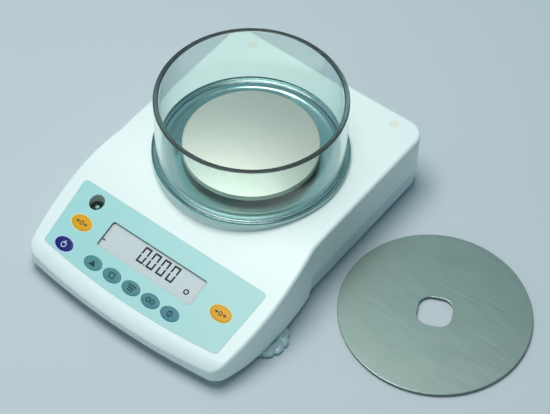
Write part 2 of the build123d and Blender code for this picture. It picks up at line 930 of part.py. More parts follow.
# Data port: a body on the board, a flange inside the rear wall and a D-shaped shell
flange_back = rear_y - wall + data_flange_thickness
with BuildPart() as data_port:
    with BuildSketch(facing_back(data_x, flange_back, data_z)):
        RectangleRounded(data_flange_width, data_flange_height - 2 * foil_clearance, data_corner)
    extrude(amount=-data_flange_thickness)
    with BuildSketch(facing_back(data_x, flange_back, data_z)):
        Rectangle(data_shell_width, data_flange_height)
    extrude(amount=-data_body_depth)
    with BuildSketch(facing_back(data_x, flange_back, data_z)):
        Trapezoid(data_shell_width, data_shell_height, data_shell_slant)
    extrude(amount=data_shell_reach)
    with BuildSketch(facing_back(data_x, flange_back + data_shell_reach, data_z)):
        Trapezoid(
            data_shell_width - 2 * data_shell_wall,
            data_shell_height - 2 * data_shell_wall,
            data_shell_slant,
        )
    extrude(amount=-data_shell_reach, mode=Mode.SUBTRACT)
    with BuildSketch(facing_back(data_x, flange_back, data_z)):
        with GridLocations(data_screw_spacing, 0, 2, 1):
            Circle(screw_radius + loose_fit)
    extrude(amount=-data_flange_thickness, mode=Mode.SUBTRACT)
data_port.part.label = "data_port"
export_step(data_port.part, "parts/data_port.step")

with BuildPart() as data_jacks:
    with BuildSketch(facing_back(data_x, flange_back, data_z)):
        with GridLocations(data_screw_spacing, 0, 2, 1):
            RegularPolygon(jack_radius, 6)
            Circle(jack_hole_radius, mode=Mode.SUBTRACT)
    extrude(amount=jack_length)
data_jacks.part.label = "data_jacks"
export_step(data_jacks.part, "parts/data_jacks.step")

# Power socket: a threaded body through the rear wall, held by a flange outside and a nut inside
with BuildPart() as power_socket:
    with BuildSketch(facing_back(power_x, rear_y, power_z)):
        Circle(power_nut_radius)
    extrude(amount=power_nut_thickness)
    with BuildSketch(facing_back(power_x, rear_y, power_z)):
        Circle(power_radius)
    extrude(amount=-power_length)
    with BuildSketch(facing_back(power_x, rear_y + power_nut_thickness, power_z)):
        Circle(power_bore_radius)
    extrude(amount=-power_bore_length, mode=Mode.SUBTRACT)
power_socket.part.label = "power_socket"
export_step(power_socket.part, "parts/power_socket.step")

with BuildPart() as power_nut:
    with BuildSketch(facing_back(power_x, rear_y - wall, power_z)):
        RegularPolygon(power_nut_radius, 6)
        Circle(power_radius + loose_fit, mode=Mode.SUBTRACT)
    extrude(amount=-power_nut_thickness)
power_nut.part.label = "power_nut"
export_step(power_nut.part, "parts/power_nut.step")

# Plug of the opening for weighing below the balance
with BuildPart() as hook_plug:
    with BuildSketch(Plane.XY.offset(base_bottom - hook_plug_thickness)):
        Circle(hook_radius + hook_plug_flange)
    extrude(amount=hook_plug_thickness)
    with BuildSketch(Plane.XY.offset(base_bottom)):
        Circle(hook_radius - hook_clearance)
        Circle(hook_radius - hook_plug_flange, mode=Mode.SUBTRACT)
    extrude(amount=base_floor)
hook_plug.part.label = "hook_plug"
export_step(hook_plug.part, "parts/hook_plug.step")

# Keypad foil
with BuildPart() as keypad_foil:
    with BuildSketch(below_panel(foil_thickness)):
        add(foil_plan())
        add(window_plan(), mode=Mode.SUBTRACT)
        for _, x, v, width, height in keys:
            with Locations((x, v)):
                Ellipse(width / 2 + key_gap, height / 2 + key_gap, mode=Mode.SUBTRACT)
    extrude(amount=foil_thickness)
    with Locations((level_x, level_y, level_rim)):
        Cylinder(level_radius, 2 * level_depth, mode=Mode.SUBTRACT)
keypad_foil.part.label = "keypad_foil"
export_step(keypad_foil.part, "parts/keypad_foil.step")

# Bezel that lines the display's opening, with a rebate for the glass and a flange behind the shell
bezel_back = wall + bezel_flange_thickness
with BuildPart() as display_bezel:
    with BuildSketch(below_panel(bezel_back)):
        add(window_plan(bezel_wall))
        add(window_plan(), mode=Mode.SUBTRACT)
    extrude(amount=bezel_back - foil_thickness)
    with BuildSketch(below_panel(bezel_back)):
        add(window_plan(bezel_wall + bezel_flange))
        add(window_plan(), mode=Mode.SUBTRACT)
    extrude(amount=bezel_flange_thickness)
    with BuildSketch(below_panel(bezel_back)):
        add(window_plan(bezel_rebate))
    extrude(amount=bezel_back - window_depth, mode=Mode.SUBTRACT)
display_bezel.part.label = "display_bezel"
export_step(display_bezel.part, "parts/display_bezel.step")

with BuildPart() as display_window:
    with BuildSketch(below_panel(window_depth + lens_thickness)):
        add(window_plan(bezel_rebate - loose_fit))
    extrude(amount=lens_thickness)
display_window.part.label = "display_window"
export_step(display_window.part, "parts/display_window.step")

# Liquid crystal panel, and the carrier that stands it off the board
with BuildPart() as display_panel:
    with BuildSketch(below_panel(bezel_back)):
        add(window_plan(bezel_rebate - loose_fit))
    extrude(amount=bezel_back - window_depth - lens_thickness)
display_panel.part.label = "display_panel"
export_step(display_panel.part, "parts/display_panel.step")

with BuildPart() as display_carrier:
    with BuildSketch(below_panel(board_depth)):
        add(window_plan(bezel_wall + bezel_flange))
    extrude(amount=board_depth - bezel_back)
display_carrier.part.label = "display_carrier"
export_step(display_carrier.part, "parts/display_carrier.step")

# Keypad board, with a snap dome under each key
with BuildPart() as keypad_board:
    with BuildSketch(below_panel(board_depth + board_thickness)):
        with Locations((0, (board_top + board_bottom) / 2)):
            Rectangle(2 * board_half, board_top - board_bottom)
        with Locations(*keypad_posts):
            Circle(screw_radius + loose_fit, mode=Mode.SUBTRACT)
    extrude(amount=board_thickness)
    with BuildSketch(below_panel(board_depth)):
        with Locations(*[(x, v) for _, x, v, _, _ in keys]):
            Circle(dome_radius)
    extrude(amount=dome_height)
    with Locations((level_x, level_y, level_rim - level_depth / 2)):
        Cylinder(level_radius + level_wall + level_flange, 2 * level_depth, mode=Mode.SUBTRACT)
keypad_board.part.label = "keypad_board"
export_step(keypad_board.part, "parts/keypad_board.step")

board_back = below_panel(board_depth + board_thickness)
keypad_screws = Compound(
    label="keypad_screws",
    children=screws(
        board_thickness + dome_height + screw_radius,
        [board_back.location * Location((x, v, 0), (180, 0, 0)) for x, v in keypad_posts],
    ),
)
export_step(keypad_screws, "parts/keypad_screws.step")

# Keys: a cap through the foil, a flange behind the shell and a plunger over its dome
for name, x, v, width, height in keys:
    flange_back = wall + key_flange_thickness
    plunger_end = board_depth - dome_height - key_travel - loose_fit
    with BuildPart() as key:
        with BuildSketch(below_panel(wall)):
            with Locations((x, v)):
                Ellipse(width / 2, height / 2)
        extrude(amount=wall + key_proud)
        chamfer(key.faces().sort_by(Axis.Z)[-1].edges(), key_edge)
        with BuildSketch(below_panel(flange_back)):
            with Locations((x, v)):
                Ellipse(width / 2 + key_flange, height / 2 + key_flange)
        extrude(amount=key_flange_thickness)
        with BuildSketch(below_panel(plunger_end)):
            with Locations((x, v)):
                Circle(plunger_radius)
        extrude(amount=plunger_end - flange_back)
    key.part.label = name
    export_step(key.part, f"parts/{name}.step")

# Bubble level: an upright cup hung from a flange under the foil, with the vial at its bottom
cup_bottom = level_rim - level_depth
with BuildPart() as level_cup:
    with Locations((level_x, level_y, cup_bottom)):
        Cylinder(level_radius + level_wall, 2 * level_depth, align=(Align.CENTER, Align.CENTER, Align.MIN))
    with BuildSketch(below_panel(foil_thickness + level_flange_thickness)):
        with Locations((level_x, level_v)):
            Circle(level_radius + level_wall + level_flange)
    extrude(amount=level_flange_thickness)
    with Locations((level_x, level_y, cup_bottom + level_wall)):
        Cylinder(
            level_radius,
            2 * level_depth,
            align=(Align.CENTER, Align.CENTER, Align.MIN),
            mode=Mode.SUBTRACT,
        )
    with BuildSketch(below_panel(foil_thickness)):
        with Locations((level_x, level_v)):
            Circle(2 * level_radius)
    extrude(amount=2 * level_depth, mode=Mode.SUBTRACT)
level_cup.part.label = "level_cup"
export_step(level_cup.part, "parts/level_cup.step")

with BuildPart() as level_vial:
    with Locations((level_x, level_y, cup_bottom + level_wall)):
        Cylinder(vial_radius, vial_height, align=(Align.CENTER, Align.CENTER, Align.MIN))
    fillet(level_vial.faces().sort_by(Axis.Z)[-1].edges(), vial_dome)
level_vial.part.label = "level_vial"
export_step(level_vial.part, "parts/level_vial.step")

# Levelling feet: a rubber pad with a pivot, and a fluted wheel whose stud screws into the tray
with BuildPart() as wheel:
    with BuildSketch(Plane.XY.offset(wheel_bottom)):
        Circle(wheel_radius)
    extrude(amount=wheel_top - wheel_bottom)
    fillet(wheel.edges(), wheel_edge)
    with PolarLocations(wheel_radius, wheel_lobes):
        with Locations(Location((0, 0, wheel_top), (0, 0, groove_slant))):
            Cylinder(groove_radius, wheel_radius, rotation=(0, 90, 0), mode=Mode.SUBTRACT)
    with BuildSketch(Plane.XY.offset(wheel_top - wheel_edge)):
        Circle(stud_radius)
    extrude(amount=stud_height + wheel_edge)
    with BuildSketch(Plane.XY):
        Circle(pivot_radius + pivot_clearance)
    extrude(amount=wheel_bottom + pivot_height, mode=Mode.SUBTRACT)

pad_top = wheel_bottom - pad_gap
with BuildPart() as pad:
    with BuildSketch():
        Circle(pad_radius)
    extrude(amount=pad_top)
    with BuildSketch(Plane.XY.offset(pad_top)):
        Circle(pivot_radius)
    extrude(amount=pivot_height)

for side, x in (("left", -foot_x), ("right", foot_x)):
    foot_wheel = wheel.part.moved(Location((x, foot_y, 0)))
    foot_wheel.label = f"foot_wheel_{side}"
    export_step(foot_wheel, f"parts/foot_wheel_{side}.step")
    foot_pad = pad.part.moved(Location((x, foot_y, 0)))
    foot_pad.label = f"foot_pad_{side}"
    export_step(foot_pad, f"parts/foot_pad_{side}.step")

# Fixed rear feet, pressed into the tray
for side, x in (("left", -rear_foot_x), ("right", rear_foot_x)):
    with BuildPart() as rear_foot:
        with Locations((x, rear_foot_y, 0)):
            Cone(
                rear_foot_radius - rear_foot_taper,
                rear_foot_radius,
                base_bottom,
                align=(Align.CENTER, Align.CENTER, Align.MIN),
            )
        with Locations((x, rear_foot_y, base_bottom)):
            Cylinder(rear_stem_radius, rear_stem_height, align=(Align.CENTER, Align.CENTER, Align.MIN))
    rear_foot.part.label = f"rear_foot_{side}"
    export_step(rear_foot.part, f"parts/rear_foot_{side}.step")
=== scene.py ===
# %% [markdown]
# # A laboratory balance with a round glass draft shield
#
# The solids of the balance come in as a fixed frame, with every piece at its real place, in metres.
# This notebook gives them their looks. It makes smooth or finer pieces where the eye needs them,
# and gives every surface a material of its own.

from math import atan2, cos, pi, radians, sin

import bpy
from mathutils import Matrix, Quaternion, Vector


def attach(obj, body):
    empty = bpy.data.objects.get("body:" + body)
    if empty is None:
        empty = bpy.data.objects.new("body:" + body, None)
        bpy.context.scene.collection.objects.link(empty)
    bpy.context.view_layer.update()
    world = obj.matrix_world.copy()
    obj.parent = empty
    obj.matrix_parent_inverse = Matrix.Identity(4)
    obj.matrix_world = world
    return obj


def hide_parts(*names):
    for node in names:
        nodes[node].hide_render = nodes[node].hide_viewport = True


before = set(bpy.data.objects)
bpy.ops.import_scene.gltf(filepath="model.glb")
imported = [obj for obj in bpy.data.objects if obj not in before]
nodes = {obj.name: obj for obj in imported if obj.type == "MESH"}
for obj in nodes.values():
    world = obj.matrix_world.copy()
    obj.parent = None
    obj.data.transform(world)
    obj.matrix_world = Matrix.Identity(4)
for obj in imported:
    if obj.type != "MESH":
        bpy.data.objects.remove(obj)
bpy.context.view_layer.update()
mm = 0.001

# %% [markdown]
# ## Camera
#
# The picture is taken with a long lens from the front right and well above. The camera is set by
# where it looks, from which side, from what height and how far away. A small turn about its own line
# of sight gives the picture its slight tilt.

# %% Place the camera
target = Vector((36.55, -11.91, 30.0)) * mm
azimuth = radians(36.490)
elevation = radians(51.027)
tilt = radians(1.672)
distance = 1442.44 * mm

back = Vector((sin(azimuth) * cos(elevation), -cos(azimuth) * cos(elevation), sin(elevation)))
camera_data = bpy.data.cameras.new("camera")
camera_data.lens = 107.81
camera_data.sensor_width = 36.0
camera = bpy.data.objects.new("camera", camera_data)
bpy.context.collection.objects.link(camera)
camera.rotation_mode = "QUATERNION"
camera.location = target + back * distance
camera.rotation_quaternion = (-back).to_track_quat("-Z", "Y") @ Quaternion((0, 0, 1), tilt)
bpy.context.scene.camera = camera
bpy.context.scene.view_settings.view_transform = "Standard"
print("camera at", [round(v, 3) for v in camera.location])

# %% [markdown]
# ## Helpers
#
# Colours are written as in a paint program, as sRGB hex values, and one function turns them into
# the linear values that shaders use. Another adds one shader node, with its settings, the values
# of its sockets and its links. A third starts a material with its shader, a plain colour that a
# pattern may take over later, and the coordinates that its patterns read.

# %% Colour and shader helpers
def linear(code, alpha=1.0):
    channels = [int(code[i : i + 2], 16) / 255 for i in (1, 3, 5)]
    return tuple(c / 12.92 if c <= 0.04045 else ((c + 0.055) / 1.055) ** 2.4 for c in channels) + (alpha,)


def add_node(tree, kind, values=None, links=None, **settings):
    node = tree.nodes.new(kind)
    for name, value in settings.items():
        setattr(node, name, value)
    for socket, value in (values or {}).items():
        node.inputs[socket].default_value = value
    for socket, source in (links or {}).items():
        tree.links.new(source, node.inputs[socket])
    return node


def start_material(name, colour, **values):
    material = bpy.data.materials.new(name)
    material.use_nodes = True
    tree = material.node_tree
    shader = tree.nodes["Principled BSDF"]
    shader.inputs["Base Color"].default_value = linear(colour)
    for socket, value in values.items():
        shader.inputs[socket.replace("_", " ")].default_value = value
    place = tree.nodes.new("ShaderNodeTexCoord").outputs["Object"]
    return material, tree, shader, place


# %% [markdown]
# Shapes are made with the same operators as by hand, so the helpers do what the hand would do:
# select nothing, make one object active, go into edit mode and come back.

# %% Modelling helpers
def select_only(*objects):
    if bpy.context.mode != "OBJECT":
        bpy.ops.object.mode_set(mode="OBJECT")
    bpy.ops.object.select_all(action="DESELECT")
    for one in objects:
        one.select_set(True)
    bpy.context.view_layer.objects.active = objects[0]


def edit(piece):
    select_only(piece)
    bpy.ops.object.mode_set(mode="EDIT")
    bpy.ops.mesh.select_mode(type="VERT")
    bpy.ops.mesh.select_all(action="SELECT")


def finish_edit(piece, smooth_below=35.0):
    bpy.ops.mesh.select_all(action="SELECT")
    bpy.ops.mesh.remove_doubles(threshold=0.002 * mm)
    bpy.ops.mesh.normals_make_consistent(inside=False)
    bpy.ops.object.mode_set(mode="OBJECT")
    bpy.ops.object.transform_apply(location=True, rotation=True, scale=True)
    bpy.ops.object.shade_smooth_by_angle(angle=radians(smooth_below))


def name_piece(name):
    piece = bpy.context.object
    piece.name = name
    piece.data.name = name
    return piece


def bevel_edges(piece, width, segments=3, angle=35.0):
    select_only(piece)
    bevel = piece.modifiers.new("bevel", "BEVEL")
    bevel.width = width
    bevel.segments = segments
    bevel.limit_method = "ANGLE"
    bevel.angle_limit = radians(angle)
    bevel.harden_normals = False
    bpy.ops.object.modifier_apply(modifier="bevel")


def give(piece, material):
    piece.data.materials.clear()
    piece.data.materials.append(material)


def report(piece):
    size = [round(v / mm, 1) for v in piece.dimensions]
    print(piece.name, len(piece.data.polygons), "faces,", size, "mm")


# %% [markdown]
# ## Studio
#
# The balance stands on a plain pale table. One large soft lamp hangs almost straight above, and a
# weaker one fills the shade from the front left. The air itself is blue, which gives the shaded sides
# their blue grey. Metal and glass see another room than the matt surfaces do: it is bright on the left
# and dim on the right, so that they mirror a light side and a dark one.

# %% Floor, lamps and world
bpy.ops.object.select_all(action="DESELECT")
bpy.ops.mesh.primitive_plane_add(size=8.0, location=(0, 0, 0))
floor = name_piece("floor")
floor_paint, tree, shader, place = start_material("floor_matt_paint", "#C6CFD1")
mottle = add_node(tree, "ShaderNodeTexNoise", {"Scale": 1 / (333 * mm), "Detail": 2.0}, {"Vector": place})
shade = add_node(
    tree, "ShaderNodeMapRange", {"To Min": 0.72, "To Max": 0.78}, {"Value": mottle.outputs["Fac"]}
)
tree.links.new(shade.outputs["Result"], shader.inputs["Roughness"])
give(floor, floor_paint)


def lamp(name, size, power, place, aim):
    light = bpy.data.lights.new(name, "AREA")
    light.shape = "RECTANGLE"
    light.size, light.size_y = size
    light.energy = power
    holder = bpy.data.objects.new(name, light)
    bpy.context.collection.objects.link(holder)
    holder.location = place
    holder.rotation_mode = "QUATERNION"
    holder.rotation_quaternion = (Vector(aim) - Vector(place)).to_track_quat("-Z", "Y")


lamp("overhead_softbox", (0.9, 0.8), 18.8, (-0.2, -0.1, 1.6), (0.0, 0.0, 0.0))
lamp("front_fill", (1.0, 0.6), 1.2, (-1.1, -1.1, 0.8), (0.0, -0.1, 0.0))

world = bpy.data.worlds.new("studio_air")
world.use_nodes = True
bpy.context.scene.world = world
tree = world.node_tree
sky = tree.nodes["Background"]
path = tree.nodes.new("ShaderNodeLightPath")
direction = tree.nodes.new("ShaderNodeTexCoord").outputs["Generated"]
apart = add_node(tree, "ShaderNodeSeparateXYZ", links={"Vector": direction})
across = add_node(
    tree,
    "ShaderNodeMapRange",
    {"From Min": -0.55, "From Max": 0.1, "To Min": 0.8, "To Max": 0.2},
    {"Value": apart.outputs["X"]},
)
seen = add_node(
    tree,
    "ShaderNodeMath",
    links={0: path.outputs["Is Glossy Ray"], 1: path.outputs["Is Transmission Ray"]},
    operation="MAXIMUM",
)
strength = add_node(tree, "ShaderNodeMix", {2: 0.4}, {0: seen.outputs[0], 3: across.outputs["Result"]})
sky.inputs["Color"].default_value = linear("#ABD5E6")
tree.links.new(strength.outputs[0], sky.inputs["Strength"])

# %% [markdown]
# ## Moulded housing
#
# The two shells of the real balance are moulded in ABS. The tool's surface is spark eroded, so the
# plastic has a fine even grain and a satin sheen. The grain of about 0.5 mm is drawn a little
# coarser than it is, so that it shows at all. The frame's shells and screw plugs already have the
# right shape. Their copies here have their triangles joined and their rounded parts shaded smooth.

# %% Material: moulded ABS
def moulded_abs(name, colour, grain_mm=0.9, relief_mm=0.012, roughness=(0.34, 0.44)):
    material, tree, shader, place = start_material(name, colour, IOR=1.53)
    grain = add_node(
        tree, "ShaderNodeTexNoise", {"Scale": 1 / (grain_mm * mm), "Detail": 3.0}, {"Vector": place}
    )
    cloud = add_node(tree, "ShaderNodeTexNoise", {"Scale": 1 / (71 * mm), "Detail": 2.0}, {"Vector": place})
    sheen = add_node(
        tree,
        "ShaderNodeMapRange",
        {"To Min": roughness[0], "To Max": roughness[1]},
        {"Value": cloud.outputs["Fac"]},
    )
    bump = add_node(
        tree,
        "ShaderNodeBump",
        {"Strength": 0.5, "Distance": relief_mm * mm},
        {"Height": grain.outputs["Fac"]},
    )
    tree.links.new(sheen.outputs["Result"], shader.inputs["Roughness"])
    tree.links.new(bump.outputs["Normal"], shader.inputs["Normal"])
    return material


housing_abs = moulded_abs("moulded_ABS_white", "#EAF4EE")
tray_abs = moulded_abs("moulded_ABS_tray", "#D3E0E2", roughness=(0.42, 0.52))
plug_abs = moulded_abs(
    "moulded_ABS_plug", "#EDEDDC", grain_mm=1.4, relief_mm=0.005, roughness=(0.25, 0.3)
)
cup_abs = moulded_abs("moulded_ABS_olive_grey", "#D3DCD0", roughness=(0.4, 0.5))
# The display bezel is moulded ABS, and its dark colour is painted shade: it stands for the shade on the walls
# of the window's recess.
recess_shade_abs = moulded_abs("moulded_ABS_painted_recess_shade", "#3A4446", roughness=(0.45, 0.55))
carrier_abs = moulded_abs("moulded_ABS_natural", "#DAD9D2", roughness=(0.4, 0.5))


# %% Smooth copies of the shells and plugs
def smooth_copy(node_name, name, body, material, angle=32.0):
    source = nodes[node_name]
    mesh = source.data.copy()
    piece = bpy.data.objects.new(name, mesh)
    bpy.context.collection.objects.link(piece)
    mesh.name = name
    if mesh.has_custom_normals:
        select_only(piece)
        bpy.ops.mesh.customdata_custom_splitnormals_clear()
    edit(piece)
    bpy.ops.mesh.remove_doubles(threshold=0.004 * mm)
    bpy.ops.mesh.tris_convert_to_quads(face_threshold=radians(1), shape_threshold=radians(60))
    bpy.ops.object.mode_set(mode="OBJECT")
    bpy.ops.object.shade_smooth_by_angle(angle=radians(angle))
    normals = piece.modifiers.new("face_weighted", "WEIGHTED_NORMAL")
    normals.keep_sharp = True
    bpy.ops.object.modifier_apply(modifier="face_weighted")
    give(piece, material)
    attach(piece, body)
    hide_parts(node_name)
    report(piece)


smooth_copy("upper_housing", "housing_shell", "balance", housing_abs)
smooth_copy("base_housing", "tray_shell", "balance", tray_abs)
smooth_copy("deck_plugs", "screw_plugs", "balance", plug_abs)

# %% [markdown]
# ## Turned and spun pieces
#
# The glass, the dish, the pan and several small pieces are round. Each is drawn as half a section,
# point by point, by extruding one vertex, and the section is then spun once round its axis. Corners
# that the real piece has rounded get a bevel afterwards.

# %% Spin a half section
def spin_section(name, section_mm, centre_mm=(0.0, 0.0), steps=128, closed=True, rounding_mm=0.0):
    x, y = centre_mm
    first = section_mm[0]
    bpy.ops.object.select_all(action="DESELECT")
    start = ((x + first[0]) * mm, y * mm, first[1] * mm)
    bpy.ops.mesh.primitive_plane_add(size=1 * mm, location=start)
    piece = name_piece(name)
    edit(piece)
    bpy.ops.mesh.merge(type="CENTER")
    for before, after in zip(section_mm, section_mm[1:]):
        step = ((after[0] - before[0]) * mm, 0, (after[1] - before[1]) * mm)
        bpy.ops.mesh.extrude_region_move(TRANSFORM_OT_translate={"value": step})
    if closed:
        step = ((first[0] - section_mm[-1][0]) * mm, 0, (first[1] - section_mm[-1][1]) * mm)
        bpy.ops.mesh.extrude_region_move(TRANSFORM_OT_translate={"value": step})
    bpy.ops.mesh.select_all(action="SELECT")
    bpy.ops.mesh.spin(steps=steps, angle=2 * pi, center=(x * mm, y * mm, 0), axis=(0, 0, 1))
    finish_edit(piece)
    if rounding_mm:
        bevel_edges(piece, rounding_mm * mm)
        bpy.ops.object.shade_smooth_by_angle(angle=radians(40))
    return piece


# %% [markdown]
# ## Draft shield glass
#
# The shield is a clear borosilicate tube. Its two ends are ground, with round edges, so the rim is a
# little matt: the shader turns matt over the last millimetre and a half. The rim looks darker and
# bluer from above, because light runs far through the wall there. The colour on the shader tints the
# light that passes the wall. Real glass casts hardly any shadow, so the shader lets most of the lamps'
# light straight through.

# %% Material: borosilicate glass
glass_high = 136.0
matt_from = glass_high - 1.4
matt_full = glass_high - 0.6
light_let_through = 0.8
glass_clear, tree, shader, place = start_material(
    "borosilicate_glass", "#E6F5F2", IOR=1.47, Transmission_Weight=1.0
)
ripple = add_node(tree, "ShaderNodeTexNoise", {"Scale": 1 / (28.6 * mm), "Detail": 1.0}, {"Vector": place})
polish = add_node(
    tree, "ShaderNodeMapRange", {"To Min": 0.0, "To Max": 0.02}, {"Value": ripple.outputs["Fac"]}
)
bump = add_node(
    tree, "ShaderNodeBump", {"Strength": 0.15, "Distance": 0.02 * mm}, {"Height": ripple.outputs["Fac"]}
)
apart = add_node(tree, "ShaderNodeSeparateXYZ", links={"Vector": place})
ground = add_node(
    tree,
    "ShaderNodeMapRange",
    {"From Min": matt_from * mm, "From Max": matt_full * mm, "To Max": 0.45},
    {"Value": apart.outputs["Z"]},
)
matt = add_node(
    tree, "ShaderNodeMath", links={0: polish.outputs["Result"], 1: ground.outputs["Result"]}
)
tree.links.new(matt.outputs[0], shader.inputs["Roughness"])
tree.links.new(bump.outputs["Normal"], shader.inputs["Normal"])
path = tree.nodes.new("ShaderNodeLightPath")
solid = add_node(
    tree,
    "ShaderNodeMath",
    {1: -light_let_through, 2: 1.0},
    {0: path.outputs["Is Shadow Ray"]},
    operation="MULTIPLY_ADD",
)
tree.links.new(solid.outputs[0], shader.inputs["Alpha"])

# %% Glass tube
glass_outer = 82.9
glass_inner = 78.4
glass_low = 71.8
tube = spin_section(
    "shield_tube",
    [
        (glass_inner, glass_low),
        (glass_outer, glass_low),
        (glass_outer, glass_high),
        (glass_inner, glass_high),
    ],
    steps=160,
    rounding_mm=1.1,
)
give(tube, glass_clear)
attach(tube, "glass")
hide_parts("draft_shield_glass")
report(tube)

# %% [markdown]
# ## Dish under the glass
#
# The dish is spun from sheet steel and polished, so it mirrors the room in soft rings. Spinning leaves
# fine circular marks, about 0.4 mm apart. They are drawn as rings of small relief and 2.6 mm apart, so
# that they show. The wave texture makes one ring for each 2 pi / 20 of its scaled length. A shallow
# step seats the glass, and the thin rim turns up round it.

# %% Material: spun steel, polished
spun_steel, tree, shader, place = start_material("spun_steel_polished", "#ABC6C0", Metallic=1.0)
ring_spacing = 2.6
wave_scale = 2 * pi / (20 * ring_spacing * mm)
rings = add_node(
    tree,
    "ShaderNodeTexWave",
    {"Scale": wave_scale, "Distortion": 0.6, "Detail": 2.0, "Detail Scale": 2.0},
    {"Vector": place},
    wave_type="RINGS",
    rings_direction="Z",
)
cloud = add_node(tree, "ShaderNodeTexNoise", {"Scale": 1 / (33.3 * mm), "Detail": 3.0}, {"Vector": place})
sheen = add_node(
    tree, "ShaderNodeMapRange", {"To Min": 0.16, "To Max": 0.26}, {"Value": cloud.outputs["Fac"]}
)
bump = add_node(
    tree, "ShaderNodeBump", {"Strength": 0.12, "Distance": 0.02 * mm}, {"Height": rings.outputs["Fac"]}
)
tree.links.new(sheen.outputs["Result"], shader.inputs["Roughness"])
tree.links.new(bump.outputs["Normal"], shader.inputs["Normal"])

# %% Dish
dish = spin_section(
    "shield_dish",
    [
        (22.8, 70.0),
        (86.0, 70.0),
        (86.5, 70.4),
        (86.5, 73.0),
        (86.2, 73.3),
        (85.8, 73.3),
        (85.4, 72.9),
        (85.1, 71.9),
        (84.4, 71.7),
        (83.3, 71.7),
        (75.6, 71.7),
        (74.8, 71.9),
        (73.6, 71.9),
        (72.4, 71.5),
        (70.8, 71.2),
        (24.0, 71.2),
        (24.0, 73.0),
        (23.8, 73.2),
        (22.8, 73.2),
    ],
    steps=160,
)
give(dish, spun_steel)
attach(dish, "balance")
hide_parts("shield_plate")
report(dish)

# %% [markdown]
# ## Weighing pan
#
# The pan is a stainless steel disc whose rim is turned down. Its top is blasted with fine glass beads,
# which gives a grain of about a third of a millimetre and a wide soft highlight. The grain is drawn
# at 0.7 mm, so that it shows in the picture.

# %% Material: bead-blasted stainless steel
blasted_steel, tree, shader, place = start_material("bead_blasted_steel", "#CDD0C6", Metallic=1.0)
grain = add_node(tree, "ShaderNodeTexNoise", {"Scale": 1 / (0.7 * mm), "Detail": 2.0}, {"Vector": place})
sheen = add_node(
    tree, "ShaderNodeMapRange", {"To Min": 0.44, "To Max": 0.6}, {"Value": grain.outputs["Fac"]}
)
spark = add_node(
    tree,
    "ShaderNodeMix",
    {6: linear("#BDC2B4"), 7: linear("#E0E2D3")},
    {0: grain.outputs["Fac"]},
    data_type="RGBA",
)
bump = add_node(
    tree, "ShaderNodeBump", {"Strength": 0.35, "Distance": 0.04 * mm}, {"Height": grain.outputs["Fac"]}
)
tree.links.new(spark.outputs[2], shader.inputs["Base Color"])
tree.links.new(sheen.outputs["Result"], shader.inputs["Roughness"])
tree.links.new(bump.outputs["Normal"], shader.inputs["Normal"])

# %% Pan
pan = spin_section(
    "pan_disc",
    [
        (0.0, 80.8),
        (58.8, 80.8),
        (59.5, 80.6),
        (59.9, 80.1),
        (60.0, 79.5),
        (60.0, 75.8),
        (58.8, 75.8),
        (58.8, 79.6),
        (0.0, 79.6),
    ],
    closed=False,
)
give(pan, blasted_steel)
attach(pan, "pan")
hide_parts("weighing_pan")
report(pan)

# %% [markdown]
# ## Cover
#
# The cover is a disc of brushed steel with a rounded square hole. It lies beside the balance. The brush
# ran in one direction, so the scratches are long that way and short across it: noise stretched forty
# to one. A ring under the disc centres it in the glass. The round edge is drawn first and extruded
# inwards, and the inner edge is then moved onto a rounded square.

# %% Material: brushed steel
brush_turn = radians(31.0)
brushed_steel, tree, shader, place = start_material("brushed_steel", "#8F938A", Metallic=1.0)
line_up = add_node(
    tree,
    "ShaderNodeMapping",
    {"Rotation": (0, 0, -brush_turn), "Scale": (1 / 40, 1.0, 1.0)},
    {"Vector": place},
)
hairs = add_node(
    tree,
    "ShaderNodeTexNoise",
    {"Scale": 1 / (0.8 * mm), "Detail": 4.0},
    {"Vector": line_up.outputs["Vector"]},
)
tone = add_node(
    tree,
    "ShaderNodeMix",
    {6: linear("#90A096"), 7: linear("#B2C1B5")},
    {0: hairs.outputs["Fac"]},
    data_type="RGBA",
)
sheen = add_node(
    tree, "ShaderNodeMapRange", {"To Min": 0.28, "To Max": 0.46}, {"Value": hairs.outputs["Fac"]}
)
bump = add_node(
    tree, "ShaderNodeBump", {"Strength": 0.4, "Distance": 0.03 * mm}, {"Height": hairs.outputs["Fac"]}
)
tree.links.new(tone.outputs[2], shader.inputs["Base Color"])
tree.links.new(sheen.outputs["Result"], shader.inputs["Roughness"])
tree.links.new(bump.outputs["Normal"], shader.inputs["Normal"])

# %% Disc with its rounded square hole
cover_x, cover_y = 201.2, -0.3
cover_radius = 83.6
cover_top = 4.0
cover_thickness = 1.5
hole_half = 15.0
hole_corner = 11.0
hole_turn = radians(25.0)


def square_radius(angle):
    """Distance from the hole's centre to its edge, in a direction counted from one of its sides."""
    turn = (angle + pi / 4) % (pi / 2) - pi / 4
    flat = hole_half / cos(turn)
    if abs(flat * sin(turn)) <= hole_half - hole_corner:
        return flat
    centre = Vector((hole_half - hole_corner, hole_half - hole_corner))
    ray = Vector((cos(abs(turn)), sin(abs(turn))))
    along = ray.dot(centre)
    return along + (hole_corner**2 - centre.length_squared + along**2) ** 0.5


